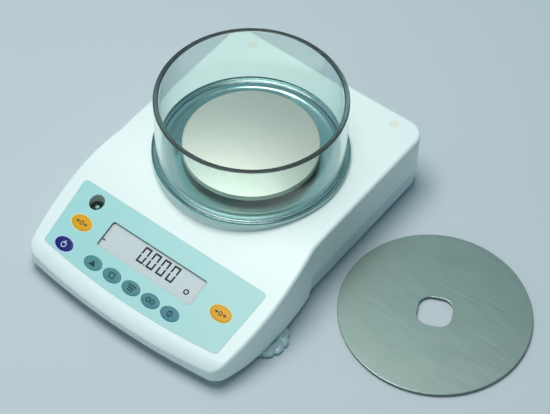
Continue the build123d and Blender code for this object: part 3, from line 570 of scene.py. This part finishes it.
bpy.ops.object.select_all(action="DESELECT")
bpy.ops.mesh.primitive_circle_add(
    vertices=128,
    radius=cover_radius * mm,
    fill_type="NOTHING",
    location=(cover_x * mm, cover_y * mm, cover_top * mm),
)
cover = name_piece("cover_plate")
edit(cover)
bpy.ops.mesh.extrude_region_move()
bpy.ops.transform.resize(value=(hole_half / cover_radius,) * 3)
bpy.ops.object.mode_set(mode="OBJECT")
for vertex in cover.data.vertices:
    if vertex.co.length < cover_radius / 2 * mm:
        angle = atan2(vertex.co.y, vertex.co.x) - hole_turn
        vertex.co = vertex.co.normalized() * square_radius(angle) * mm
edit(cover)
bpy.ops.mesh.normals_make_consistent(inside=False)
bpy.ops.mesh.extrude_region_move(TRANSFORM_OT_translate={"value": (0, 0, -cover_thickness * mm)})
finish_edit(cover)
bevel_edges(cover, 0.4 * mm, segments=2)
bpy.ops.object.shade_smooth_by_angle(angle=radians(30))
give(cover, brushed_steel)
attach(cover, "cover")
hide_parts("draft_shield_cover")
report(cover)

# %% Ring under the cover
ring_inner = 75.0
ring_outer = 78.0
ring_high = 2.55
ring = spin_section(
    "cover_ring",
    [(ring_inner, ring_high), (ring_inner, 0.0), (ring_outer, 0.0), (ring_outer, ring_high)],
    centre_mm=(cover_x, cover_y),
    rounding_mm=0.3,
)
give(ring, brushed_steel)
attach(ring, "cover")
report(ring)

# %% [markdown]
# ## The sloped keypad
#
# Everything on the keypad lies in the plane of the slope. It is modelled flat, as on a sheet of paper,
# and one function then lays it on the slope: the sheet's middle goes to the panel's middle, and the
# sheet tips up at the back.

# %% From the flat sheet to the slope
slope = radians(18.8)
panel_middle = Vector((0, -136.0, 42.0)) * mm
panel_place = Matrix.Translation(panel_middle) @ Matrix.Rotation(slope, 4, "X")


def lay_on_slope(piece):
    select_only(piece)
    piece.matrix_world = panel_place
    bpy.ops.object.transform_apply(location=True, rotation=True, scale=True)


# %% [markdown]
# Printed marks are flat shapes with the thickness of a coat of ink. Each is drawn as an outline by
# extruding one vertex from point to point, filled, and raised by 0.05 mm. A ring is a torus that is
# pressed flat to the same height.

# %% Ink shapes
ink_height = 0.05


def ink_outline(points_mm, low_mm):
    bpy.ops.object.select_all(action="DESELECT")
    first = points_mm[0]
    bpy.ops.mesh.primitive_plane_add(size=1 * mm, location=(first[0] * mm, first[1] * mm, low_mm * mm))
    piece = bpy.context.object
    edit(piece)
    bpy.ops.mesh.merge(type="CENTER")
    for before, after in zip(points_mm, points_mm[1:]):
        step = ((after[0] - before[0]) * mm, (after[1] - before[1]) * mm, 0)
        bpy.ops.mesh.extrude_region_move(TRANSFORM_OT_translate={"value": step})
    bpy.ops.mesh.select_all(action="SELECT")
    bpy.ops.mesh.edge_face_add()
    bpy.ops.mesh.extrude_region_move(TRANSFORM_OT_translate={"value": (0, 0, ink_height * mm)})
    finish_edit(piece)
    return piece


def ink_ring(x, y, radius, stroke, low_mm):
    bpy.ops.object.select_all(action="DESELECT")
    bpy.ops.mesh.primitive_torus_add(
        major_segments=32,
        minor_segments=6,
        major_radius=radius * mm,
        minor_radius=stroke / 2 * mm,
        location=(x * mm, y * mm, low_mm * mm),
    )
    piece = bpy.context.object
    edit(piece)
    bpy.ops.transform.resize(value=(1, 1, 2 * ink_height / stroke))
    finish_edit(piece)
    return piece


def join_marks(name, marks, body, material):
    select_only(*marks)
    if len(marks) > 1:
        bpy.ops.object.join()
    piece = name_piece(name)
    lay_on_slope(piece)
    give(piece, material)
    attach(piece, body)
    return piece


def bar(x, y, width, height):
    return [
        (x - width / 2, y - height / 2),
        (x + width / 2, y - height / 2),
        (x + width / 2, y + height / 2),
        (x - width / 2, y + height / 2),
    ]


# %% [markdown]
# ## Keypad foil and keys
#
# The foil is a sheet of polyester, printed on its back in a pale aqua and finely textured. The keys are
# printed polyester too, embossed into low ovals with a flat top that snap when pressed. Their colours
# differ: golden yellow, navy and a grey teal. Painted light and shade runs across the foil and the teal
# keys: towards the right the foil is painted lighter and the teal keys darker and bluer. A cap is an
# oval that is extruded in small steps, each one drawn in a little more than the last, which rounds its
# edge.


# %% Material: textured polyester film
def printed_polyester(name, colour, painted_light_right_colour=None, roughness=(0.32, 0.42)):
    material, tree, shader, place = start_material(name, colour, IOR=1.57, Specular_IOR_Level=0.2)
    texture = add_node(
        tree, "ShaderNodeTexNoise", {"Scale": 1 / (0.8 * mm), "Detail": 2.0}, {"Vector": place}
    )
    cloud = add_node(tree, "ShaderNodeTexNoise", {"Scale": 1 / (45.5 * mm), "Detail": 2.0}, {"Vector": place})
    sheen = add_node(
        tree,
        "ShaderNodeMapRange",
        {"To Min": roughness[0], "To Max": roughness[1]},
        {"Value": cloud.outputs["Fac"]},
    )
    bump = add_node(
        tree, "ShaderNodeBump", {"Strength": 0.4, "Distance": 0.01 * mm}, {"Height": texture.outputs["Fac"]}
    )
    # Painted light and shade: the colour runs from the printed colour at the left to a second colour at the
    # right.
    if painted_light_right_colour:
        apart = add_node(tree, "ShaderNodeSeparateXYZ", links={"Vector": place})
        across = add_node(
            tree, "ShaderNodeMapRange", {"From Min": -0.09, "From Max": 0.1}, {"Value": apart.outputs["X"]}
        )
        tone = add_node(
            tree,
            "ShaderNodeMix",
            {6: linear(colour), 7: linear(painted_light_right_colour)},
            {0: across.outputs["Result"]},
            data_type="RGBA",
        )
        tree.links.new(tone.outputs[2], shader.inputs["Base Color"])
    tree.links.new(sheen.outputs["Result"], shader.inputs["Roughness"])
    tree.links.new(bump.outputs["Normal"], shader.inputs["Normal"])
    return material


# The aqua foil and the teal keys get painted light and shade across the panel: lighter foil and darker, bluer
# keys to the right.
foil_print = printed_polyester("printed_polyester_aqua", "#A9DAD6", painted_light_right_colour="#B7DFD9")
yellow_print = printed_polyester("printed_polyester_yellow", "#E8A400")
navy_print = printed_polyester("printed_polyester_navy", "#070B6B")
teal_print = printed_polyester("printed_polyester_grey_teal", "#4F908D", painted_light_right_colour="#417B8C")
dark_ink = printed_polyester("screen_ink_dark", "#1B3633", roughness=(0.5, 0.6))
white_ink = printed_polyester("screen_ink_white", "#C9D2EE", roughness=(0.5, 0.6))
crystal_ink = printed_polyester("liquid_crystal_black", "#0E1210", roughness=(0.5, 0.6))

# %% Key caps with rounded edges
tare_size = (20.0, 13.0)
small_size = (18.0, 12.0)
tare_across = 76.5
tare_up = -0.8
power_across = -77.4
low_row = -24.4
function_first = -44.4
function_spacing = 21.15
function_places = [function_first + function_spacing * number for number in range(5)]
key_table = [
    ("key_tare_left", -tare_across, tare_up, tare_size, yellow_print, "tare_key_plastic"),
    ("key_tare_right", tare_across, tare_up, tare_size, yellow_print, "tare_key_plastic"),
    ("key_power", power_across, low_row, small_size, navy_print, "power_key_plastic"),
]
for number, across in enumerate(function_places, 1):
    body = f"key_function_{number}"
    key_table.append((body, across, low_row, small_size, teal_print, "function_key_plastic"))

oval_points = 64
key_depth = 3.4
key_steps = [(0.2, 0.15), (0.4, 0.1), (0.6, 0.06), (0.8, 0.03)]
key_wall_top = 0.1
key_top = key_wall_top + sum(rise for inward, rise in key_steps)
for body, across, up, (width, height), print_colour, slot in key_table:
    bpy.ops.object.select_all(action="DESELECT")
    bpy.ops.mesh.primitive_circle_add(
        vertices=oval_points, radius=width / 2 * mm, fill_type="NGON", location=(0, 0, 0)
    )
    cap = name_piece(body + "_cap")
    edit(cap)
    bpy.ops.transform.resize(value=(1, height / width, 1))
    bpy.ops.transform.translate(value=(across * mm, up * mm, -key_depth * mm))
    wall = (0, 0, (key_depth + key_wall_top) * mm)
    bpy.ops.mesh.extrude_region_move(TRANSFORM_OT_translate={"value": wall})
    half_width, half_height = width / 2, height / 2
    for inward, rise in key_steps:
        bpy.ops.mesh.extrude_region_move(TRANSFORM_OT_translate={"value": (0, 0, rise * mm)})
        bpy.ops.transform.resize(value=(1 - inward / half_width, 1 - inward / half_height, 1))
        half_width -= inward
        half_height -= inward
    finish_edit(cap, smooth_below=50)
    lay_on_slope(cap)
    give(cap, print_colour)
    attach(cap, body)
    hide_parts(body)
report(cap)

# %% [markdown]
# A thin pale line is painted on the foil round the yellow keys and the navy one: a painted highlight where
# the foil turns up into the key.

# %% Painted highlights round three keys
yellow_painted_highlight = printed_polyester("painted_highlight_pale_yellow", "#E9E3A0", roughness=(0.5, 0.6))
lilac_painted_highlight = printed_polyester("painted_highlight_pale_lilac", "#C3D2F0", roughness=(0.5, 0.6))
highlight_gap = 0.3
highlight_width = 0.9
for body, across, up, (width, height), _, _ in key_table[:3]:
    inner_x, inner_y = width / 2 + highlight_gap, height / 2 + highlight_gap
    bpy.ops.object.select_all(action="DESELECT")
    bpy.ops.mesh.primitive_circle_add(
        vertices=oval_points, radius=inner_x * mm, fill_type="NOTHING", location=(0, 0, 0)
    )
    line = name_piece(body + "_painted_highlight")
    edit(line)
    bpy.ops.transform.resize(value=(1, inner_y / inner_x, 1))
    bpy.ops.mesh.extrude_region_move()
    bpy.ops.transform.resize(value=(1 + highlight_width / inner_x, 1 + highlight_width / inner_y, 1))
    bpy.ops.mesh.select_all(action="SELECT")
    bpy.ops.transform.translate(value=(across * mm, up * mm, 0))
    bpy.ops.mesh.extrude_region_move(TRANSFORM_OT_translate={"value": (0, 0, ink_height * mm)})
    finish_edit(line)
    lay_on_slope(line)
    # The pale line is a painted highlight, in a pale tint of the key's own colour.
    give(line, lilac_painted_highlight if body == "key_power" else yellow_painted_highlight)
    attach(line, "balance")
report(line)

# %% [markdown]
# The marks on the keys are generic signs: two arrows that meet at a zero ring, and a ring with a bar.
# The five function keys have plain figures: a triangle, a square frame, a stack of three lines, two
# rings, and a ring with a bar through it.

# %% Marks on the keys
thin = 0.8
heavy = 0.9
small_ring = 1.6
large_ring = 2.3
arrow_tip = 2.6
arrow_back = 4.5
arrow_half = 1.6
tail_middle = 5.3
tail_length = 1.6
for side, across in (("left", -tare_across), ("right", tare_across)):
    marks = [ink_ring(across, tare_up, small_ring, thin, key_top)]
    for way in (-1, 1):
        tail = bar(across + way * tail_middle, tare_up, tail_length, thin)
        marks.append(ink_outline(tail, key_top))
        wing = across + way * arrow_back
        tip = (across + way * arrow_tip, tare_up)
        head = [tip, (wing, tare_up + arrow_half), (wing, tare_up - arrow_half)]
        marks.append(ink_outline(head, key_top))
    join_marks(f"key_tare_{side}_mark", marks, f"key_tare_{side}", dark_ink)

marks = [
    ink_ring(power_across, low_row - 0.5, large_ring, thin, key_top),
    ink_outline(bar(power_across, low_row + 2.0, thin, 3.0), key_top),
]
join_marks("key_power_mark", marks, "key_power", white_ink)

triangle_x, frame_x, stack_x, pair_x, ring_x = function_places
base, top = low_row - 2.6, low_row + 2.6
figure_marks = [
    [ink_outline([(triangle_x - 3.4, base), (triangle_x + 3.4, base), (triangle_x, top)], key_top)],
    [ink_outline(bar(frame_x + side * 2.4, low_row, heavy, 5.4), key_top) for side in (-1, 1)]
    + [ink_outline(bar(frame_x, low_row + side * 2.3, 4.0, heavy), key_top) for side in (-1, 1)],
    [
        ink_outline(bar(stack_x, low_row + 2.2 - 2.2 * line, 8.0 - 1.4 * line, 1.1), key_top)
        for line in range(3)
    ],
    [ink_ring(pair_x + side * 2.1, low_row, 1.8, heavy, key_top) for side in (-1, 1)],
    [
        ink_ring(ring_x, low_row, large_ring, heavy, key_top),
        ink_outline(bar(ring_x, low_row, heavy, 6.0), key_top),
    ],
]
for number, marks in enumerate(figure_marks, 1):
    join_marks(f"key_function_{number}_mark", marks, f"key_function_{number}", dark_ink)
print("marked", len(key_table), "keys")

# %% [markdown]
# ## Display
#
# Behind a clear acrylic window lies a liquid crystal panel, light grey like a reflective display.
# Its digits are dark bars that lean a little to the right. The bars end in slanted cuts, so that six
# of them close to a zero with hairline gaps.

# %% Materials: acrylic window and crystal panel
acrylic, tree, shader, place = start_material("acrylic_window", "#8D9898", IOR=1.49, Alpha=0.05)
haze = add_node(tree, "ShaderNodeTexNoise", {"Scale": 1 / (11.1 * mm), "Detail": 2.0}, {"Vector": place})
sheen = add_node(tree, "ShaderNodeMapRange", {"To Min": 0.0, "To Max": 0.04}, {"Value": haze.outputs["Fac"]})
tree.links.new(sheen.outputs["Result"], shader.inputs["Roughness"])

crystal, tree, shader, place = start_material("liquid_crystal_panel", "#D3DAD9", IOR=1.5)
speckle = add_node(tree, "ShaderNodeTexNoise", {"Scale": 1 / (0.5 * mm), "Detail": 1.0}, {"Vector": place})
tone = add_node(
    tree,
    "ShaderNodeMix",
    {6: linear("#CAD2D1"), 7: linear("#DCE3E2")},
    {0: speckle.outputs["Fac"]},
    data_type="RGBA",
)
cloud = add_node(tree, "ShaderNodeTexNoise", {"Scale": 1 / (40 * mm)}, {"Vector": place})
sheen = add_node(tree, "ShaderNodeMapRange", {"To Min": 0.4, "To Max": 0.5}, {"Value": cloud.outputs["Fac"]})
tree.links.new(tone.outputs[2], shader.inputs["Base Color"])
tree.links.new(sheen.outputs["Result"], shader.inputs["Roughness"])

# %% Digits
digit_width = 7.3
digit_height = 15.3
stroke = 1.7
lean = 0.04
crystal_depth = -2.5
gap = 0.14


def leaning(points, x, y):
    return [(x + px + lean * py, y + py) for px, py in points]


def upright_bar(side, low, high):
    outer = side * digit_width / 2
    inner = outer - side * stroke
    cut = stroke * 0.5
    return [(outer, low + gap), (inner, low + gap + cut), (inner, high - gap - cut), (outer, high - gap)]


def level_bar(height, inward):
    outer = digit_width / 2 - gap
    cut = outer - stroke
    inner = height + inward * stroke
    return [(-outer, height), (outer, height), (cut, inner), (-cut, inner)]


def zero(x, y):
    half = digit_height / 2
    bars = [level_bar(half, -1), level_bar(-half, 1)]
    for side in (-1, 1):
        bars.append(upright_bar(side, 0, half))
        bars.append(upright_bar(side, -half, 0))
    return [ink_outline(leaning(points, x, y), crystal_depth) for points in bars]


digit_first = -12.0
digit_spacing = 10.62
digit_places = [digit_first + digit_spacing * number for number in range(4)]
digit_level = 5.5
marks = [one for x in digit_places for one in zero(x, digit_level)]
point_x = (digit_places[0] + digit_places[1]) / 2 - lean * digit_height / 2
point_y = digit_level - digit_height / 2 + 0.7
point_size = 1.3
marks.append(ink_outline(bar(point_x, point_y, point_size, point_size), crystal_depth))
join_marks("display_digits", marks, "balance", crystal_ink)

marks = [
    ink_ring(39.0, -1.0, 2.0, 1.2, crystal_depth),
    ink_outline(bar(-51.2, -1.8, 3.2, 1.1), crystal_depth),
]
join_marks("display_signs", marks, "balance", crystal_ink)
print("digits at", [round(x, 1) for x in digit_places])

# %% [markdown]
# ## Bubble level
#
# At the bottom of the well stands a small glass vial with a dark green liquid. An air bubble floats
# under its domed top, inside a thin black ring.

# %% Material and pieces of the level
level_glass, tree, shader, place = start_material(
    "level_vial_glass", "#37463A", Roughness=0.08, IOR=1.5, Coat_Weight=1.0, Coat_Roughness=0.03
)
depth_tone = add_node(
    tree, "ShaderNodeTexNoise", {"Scale": 1 / (8.33 * mm), "Detail": 1.0}, {"Vector": place}
)
tone = add_node(
    tree,
    "ShaderNodeMix",
    {6: linear("#0F1714"), 7: linear("#1D2A24")},
    {0: depth_tone.outputs["Fac"]},
    data_type="RGBA",
)
tree.links.new(tone.outputs[2], shader.inputs["Base Color"])
air_bubble, tree, shader, place = start_material("air_under_glass", "#8FB5A8", Coat_Weight=1.0)
film = add_node(tree, "ShaderNodeTexNoise", {"Scale": 1 / (3.33 * mm)}, {"Vector": place})
sheen = add_node(tree, "ShaderNodeMapRange", {"To Min": 0.08, "To Max": 0.16}, {"Value": film.outputs["Fac"]})
tree.links.new(sheen.outputs["Result"], shader.inputs["Roughness"])

level_place = (-77.3, -115.74)
vial_foot = 36.7
vial = spin_section(
    "level_vial_body",
    [(0, 0), (6.2, 0), (6.6, 0.4), (6.6, 5.0), (6.2, 5.6), (4.8, 5.85), (2.6, 5.97), (0, 6.0)],
    steps=48,
    closed=False,
)
bubble = spin_section(
    "level_bubble",
    [(0, 5.9), (1.9, 5.93), (1.7, 6.12), (1.0, 6.24), (0, 6.28)],
    steps=32,
    closed=False,
)
mark = spin_section("level_ring", [(2.7, 5.9), (3.1, 5.9), (3.1, 6.05), (2.7, 6.08)], steps=48)
for piece, paint in ((vial, level_glass), (bubble, air_bubble), (mark, crystal_ink)):
    select_only(piece)
    piece.location = (level_place[0] * mm, level_place[1] * mm, vial_foot * mm)
    bpy.ops.object.transform_apply(location=True, rotation=True, scale=True)
    give(piece, paint)
    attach(piece, "balance")
    report(piece)
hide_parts("level_vial")

# %% [markdown]
# ## Foot wheels
#
# The two front feet are thumb wheels of clear blue grey plastic. Twelve lobes, parted by narrow
# grooves that sweep round a little, give the thumb a grip. The wheel is drawn ring by ring, from its
# lower edge over the round rim to the hub, and the grooves are then pressed into the rings outside
# the hub. Their sweep is a turn for each millimetre outwards. A steel stud stands in the middle and
# screws into the tray.

# %% Material: clear plastic
wheel_clear, tree, shader, place = start_material(
    "clear_SAN_blue_grey", "#D2EEF0", IOR=1.56, Transmission_Weight=0.35
)
flow = add_node(
    tree,
    "ShaderNodeTexNoise",
    {"Scale": 1 / (16.7 * mm), "Detail": 2.0, "Distortion": 1.5},
    {"Vector": place},
)
sheen = add_node(tree, "ShaderNodeMapRange", {"To Min": 0.08, "To Max": 0.2}, {"Value": flow.outputs["Fac"]})
bump = add_node(
    tree, "ShaderNodeBump", {"Strength": 0.3, "Distance": 0.1 * mm}, {"Height": flow.outputs["Fac"]}
)
tree.links.new(sheen.outputs["Result"], shader.inputs["Roughness"])
tree.links.new(bump.outputs["Normal"], shader.inputs["Normal"])

# %% Fluted wheels
wheel_rings = [
    (20.4, 2.0),
    (21.5, 2.3),
    (22.0, 3.0),
    (21.9, 3.7),
    (21.3, 4.5),
    (20.1, 5.2),
    (18.3, 5.7),
    (16.0, 5.9),
    (14.0, 5.9),
    (13.0, 5.9),
    (12.0, 4.9),
    (4.2, 4.9),
    (4.2, 5.9),
]
wheel_radius = 22.0
flutes = 12
steps_per_flute = 16
flute_depth = 1.8
flute_start = 13.2
flute_full = 17.0
flute_lean = radians(2.6)
narrowing = 10


def fluted_wheel(name, x, y):
    bpy.ops.object.select_all(action="DESELECT")
    bpy.ops.mesh.primitive_circle_add(
        vertices=flutes * steps_per_flute,
        radius=wheel_rings[0][0] * mm,
        fill_type="NOTHING",
        location=(x * mm, y * mm, wheel_rings[0][1] * mm),
    )
    wheel = name_piece(name)
    edit(wheel)
    for (radius, height), (next_radius, next_height) in zip(wheel_rings, wheel_rings[1:]):
        step = (0, 0, (next_height - height) * mm)
        bpy.ops.mesh.extrude_region_move(TRANSFORM_OT_translate={"value": step})
        bpy.ops.transform.resize(value=(next_radius / radius, next_radius / radius, 1))
    bpy.ops.object.mode_set(mode="OBJECT")
    for vertex in wheel.data.vertices:
        out = Vector((vertex.co.x, vertex.co.y))
        reach = out.length / mm
        turn = atan2(out.y, out.x) + flute_lean * reach
        share = min(max((reach - flute_start) / (flute_full - flute_start), 0), 1)
        depth = flute_depth * share * abs(cos(turn * flutes / 2)) ** narrowing
        outward = share * (reach - flute_start) / (wheel_radius - flute_start)
        vertex.co.xy = out.normalized() * (reach - depth * outward) * mm
        vertex.co.z -= min(depth * (1 - outward / 2) * mm, vertex.co.z)
    edit(wheel)
    bpy.ops.mesh.select_all(action="DESELECT")
    bpy.ops.mesh.select_non_manifold()
    bpy.ops.mesh.fill()
    finish_edit(wheel, smooth_below=60)
    return wheel


# %% Material: bright zinc-plated steel
zinc_steel, tree, shader, place = start_material("zinc_plated_steel", "#B9BDC2", Metallic=1.0)
crystals = add_node(
    tree, "ShaderNodeTexNoise", {"Scale": 1 / (1.11 * mm), "Detail": 3.0}, {"Vector": place}
)
sheen = add_node(
    tree, "ShaderNodeMapRange", {"To Min": 0.22, "To Max": 0.36}, {"Value": crystals.outputs["Fac"]}
)
tree.links.new(sheen.outputs["Result"], shader.inputs["Roughness"])

# %% Both wheels with their studs
wheel_across = 101.5
wheel_y = -110.5
for side, x in (("left", -wheel_across), ("right", wheel_across)):
    wheel = fluted_wheel(f"wheel_{side}", x, wheel_y)
    give(wheel, wheel_clear)
    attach(wheel, f"foot_wheel_{side}")
    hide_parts(f"foot_wheel_{side}")
    stud = spin_section(
        f"wheel_stud_{side}",
        [(1.6, 4.6), (4.0, 4.6), (4.0, 22.3), (3.4, 22.9), (1.0, 22.9), (1.0, 5.2), (1.6, 5.2)],
        centre_mm=(x, wheel_y),
        steps=32,
    )
    give(stud, zinc_steel)
    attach(stud, f"foot_wheel_{side}")
    report(wheel)

# %% [markdown]
# ## The pieces that keep their CAD shape
#
# The remaining pieces have the right shape already and only need a finish. Inside the housing these are
# the force cell, the circuit boards and their screws. Outside they are the rubber feet and the
# connectors at the back.


# %% Materials: metals of the mechanism
def worked_metal(name, colour, mark_mm, stretch, roughness, relief_mm=0.01):
    material, tree, shader, place = start_material(name, colour, Metallic=1.0)
    line_up = add_node(tree, "ShaderNodeMapping", {"Scale": stretch}, {"Vector": place})
    marks = add_node(
        tree,
        "ShaderNodeTexNoise",
        {"Scale": 1 / (mark_mm * mm), "Detail": 3.0},
        {"Vector": line_up.outputs["Vector"]},
    )
    sheen = add_node(
        tree,
        "ShaderNodeMapRange",
        {"To Min": roughness[0], "To Max": roughness[1]},
        {"Value": marks.outputs["Fac"]},
    )
    bump = add_node(
        tree,
        "ShaderNodeBump",
        {"Strength": 0.4, "Distance": relief_mm * mm},
        {"Height": marks.outputs["Fac"]},
    )
    tree.links.new(sheen.outputs["Result"], shader.inputs["Roughness"])
    tree.links.new(bump.outputs["Normal"], shader.inputs["Normal"])
    return material


cast_aluminium = worked_metal("die_cast_aluminium", "#B4B6B7", 1.2, (1, 1, 1), (0.4, 0.55), relief_mm=0.03)
milled_aluminium = worked_metal("milled_aluminium", "#C6C8CB", 0.6, (1, 0.08, 1), (0.25, 0.38))
turned_steel = worked_metal("turned_steel", "#AFB1B3", 0.4, (0.1, 0.1, 1), (0.2, 0.32))
nickel_iron = worked_metal("nickel_plated_iron", "#9B9A95", 1.5, (1, 1, 1), (0.2, 0.35))
bracket_steel = worked_metal("galvanised_steel_sheet", "#A3A9AD", 6.0, (1, 1, 1), (0.35, 0.6))
tin_plate = worked_metal("tin_plated_brass", "#BDBFC1", 2.0, (1, 1, 1), (0.22, 0.32))

# %% Material: solder mask with copper tracks
solder_mask, tree, shader, place = start_material("solder_mask_green", "#1C6B3C", Roughness=0.35, IOR=1.55)
cells = add_node(
    tree, "ShaderNodeTexVoronoi", {"Scale": 1 / (7.1 * mm)}, {"Vector": place}, distance="MANHATTAN"
)
tracks = add_node(
    tree,
    "ShaderNodeMix",
    {6: linear("#17582F"), 7: linear("#2C8A50")},
    {0: cells.outputs["Distance"]},
    data_type="RGBA",
)
bump = add_node(
    tree, "ShaderNodeBump", {"Strength": 0.4, "Distance": 0.04 * mm}, {"Height": cells.outputs["Distance"]}
)
tree.links.new(tracks.outputs[2], shader.inputs["Base Color"])
tree.links.new(bump.outputs["Normal"], shader.inputs["Normal"])


# %% Material: moulded rubber and black plastic
def dull_black(name, colour, grain_mm, roughness):
    material, tree, shader, place = start_material(name, colour)
    grain = add_node(
        tree, "ShaderNodeTexNoise", {"Scale": 1 / (grain_mm * mm), "Detail": 3.0}, {"Vector": place}
    )
    sheen = add_node(
        tree,
        "ShaderNodeMapRange",
        {"To Min": roughness[0], "To Max": roughness[1]},
        {"Value": grain.outputs["Fac"]},
    )
    bump = add_node(
        tree, "ShaderNodeBump", {"Strength": 0.5, "Distance": 0.03 * mm}, {"Height": grain.outputs["Fac"]}
    )
    tree.links.new(sheen.outputs["Result"], shader.inputs["Roughness"])
    tree.links.new(bump.outputs["Normal"], shader.inputs["Normal"])
    return material


foot_rubber = dull_black("moulded_rubber", "#1E1F21", 0.6, (0.7, 0.85))
socket_black = dull_black("glass_filled_nylon", "#17181A", 1.0, (0.35, 0.5))

# %% Give every CAD node its finish
node_finish = {
    housing_abs: ["upper_housing"],
    tray_abs: ["base_housing", "hook_plug"],
    plug_abs: ["deck_plugs"],
    foil_print: ["keypad_foil"],
    glass_clear: ["draft_shield_glass"],
    spun_steel: ["shield_plate"],
    blasted_steel: ["weighing_pan"],
    brushed_steel: ["draft_shield_cover"],
    cast_aluminium: ["pan_support"],
    turned_steel: ["load_cone"],
    milled_aluminium: ["weigh_cell", "coil_lever"],
    nickel_iron: ["magnet_pot"],
    bracket_steel: ["cell_bracket"],
    zinc_steel: ["housing_screws", "cell_screws", "board_screws", "keypad_screws"],
    solder_mask: ["main_board", "keypad_board"],
    tin_plate: ["data_port", "data_jacks", "power_nut"],
    socket_black: ["power_socket"],
    # The bezel's dark colour is painted shade in the window's recess.
    recess_shade_abs: ["display_bezel"],
    acrylic: ["display_window"],
    crystal: ["display_panel"],
    carrier_abs: ["display_carrier"],
    cup_abs: ["level_cup"],
    level_glass: ["level_vial"],
    wheel_clear: ["foot_wheel_left", "foot_wheel_right"],
    foot_rubber: ["foot_pad_left", "foot_pad_right", "rear_foot_left", "rear_foot_right"],
}
for body, _, _, _, print_colour, _ in key_table:
    node_finish.setdefault(print_colour, []).append(body)
for material, names in node_finish.items():
    for name in names:
        give(nodes[name], material)
left_bare = set(nodes) - {name for names in node_finish.values() for name in names}
print("finished", len(nodes) - len(left_bare), "nodes; without a finish:", sorted(left_bare))
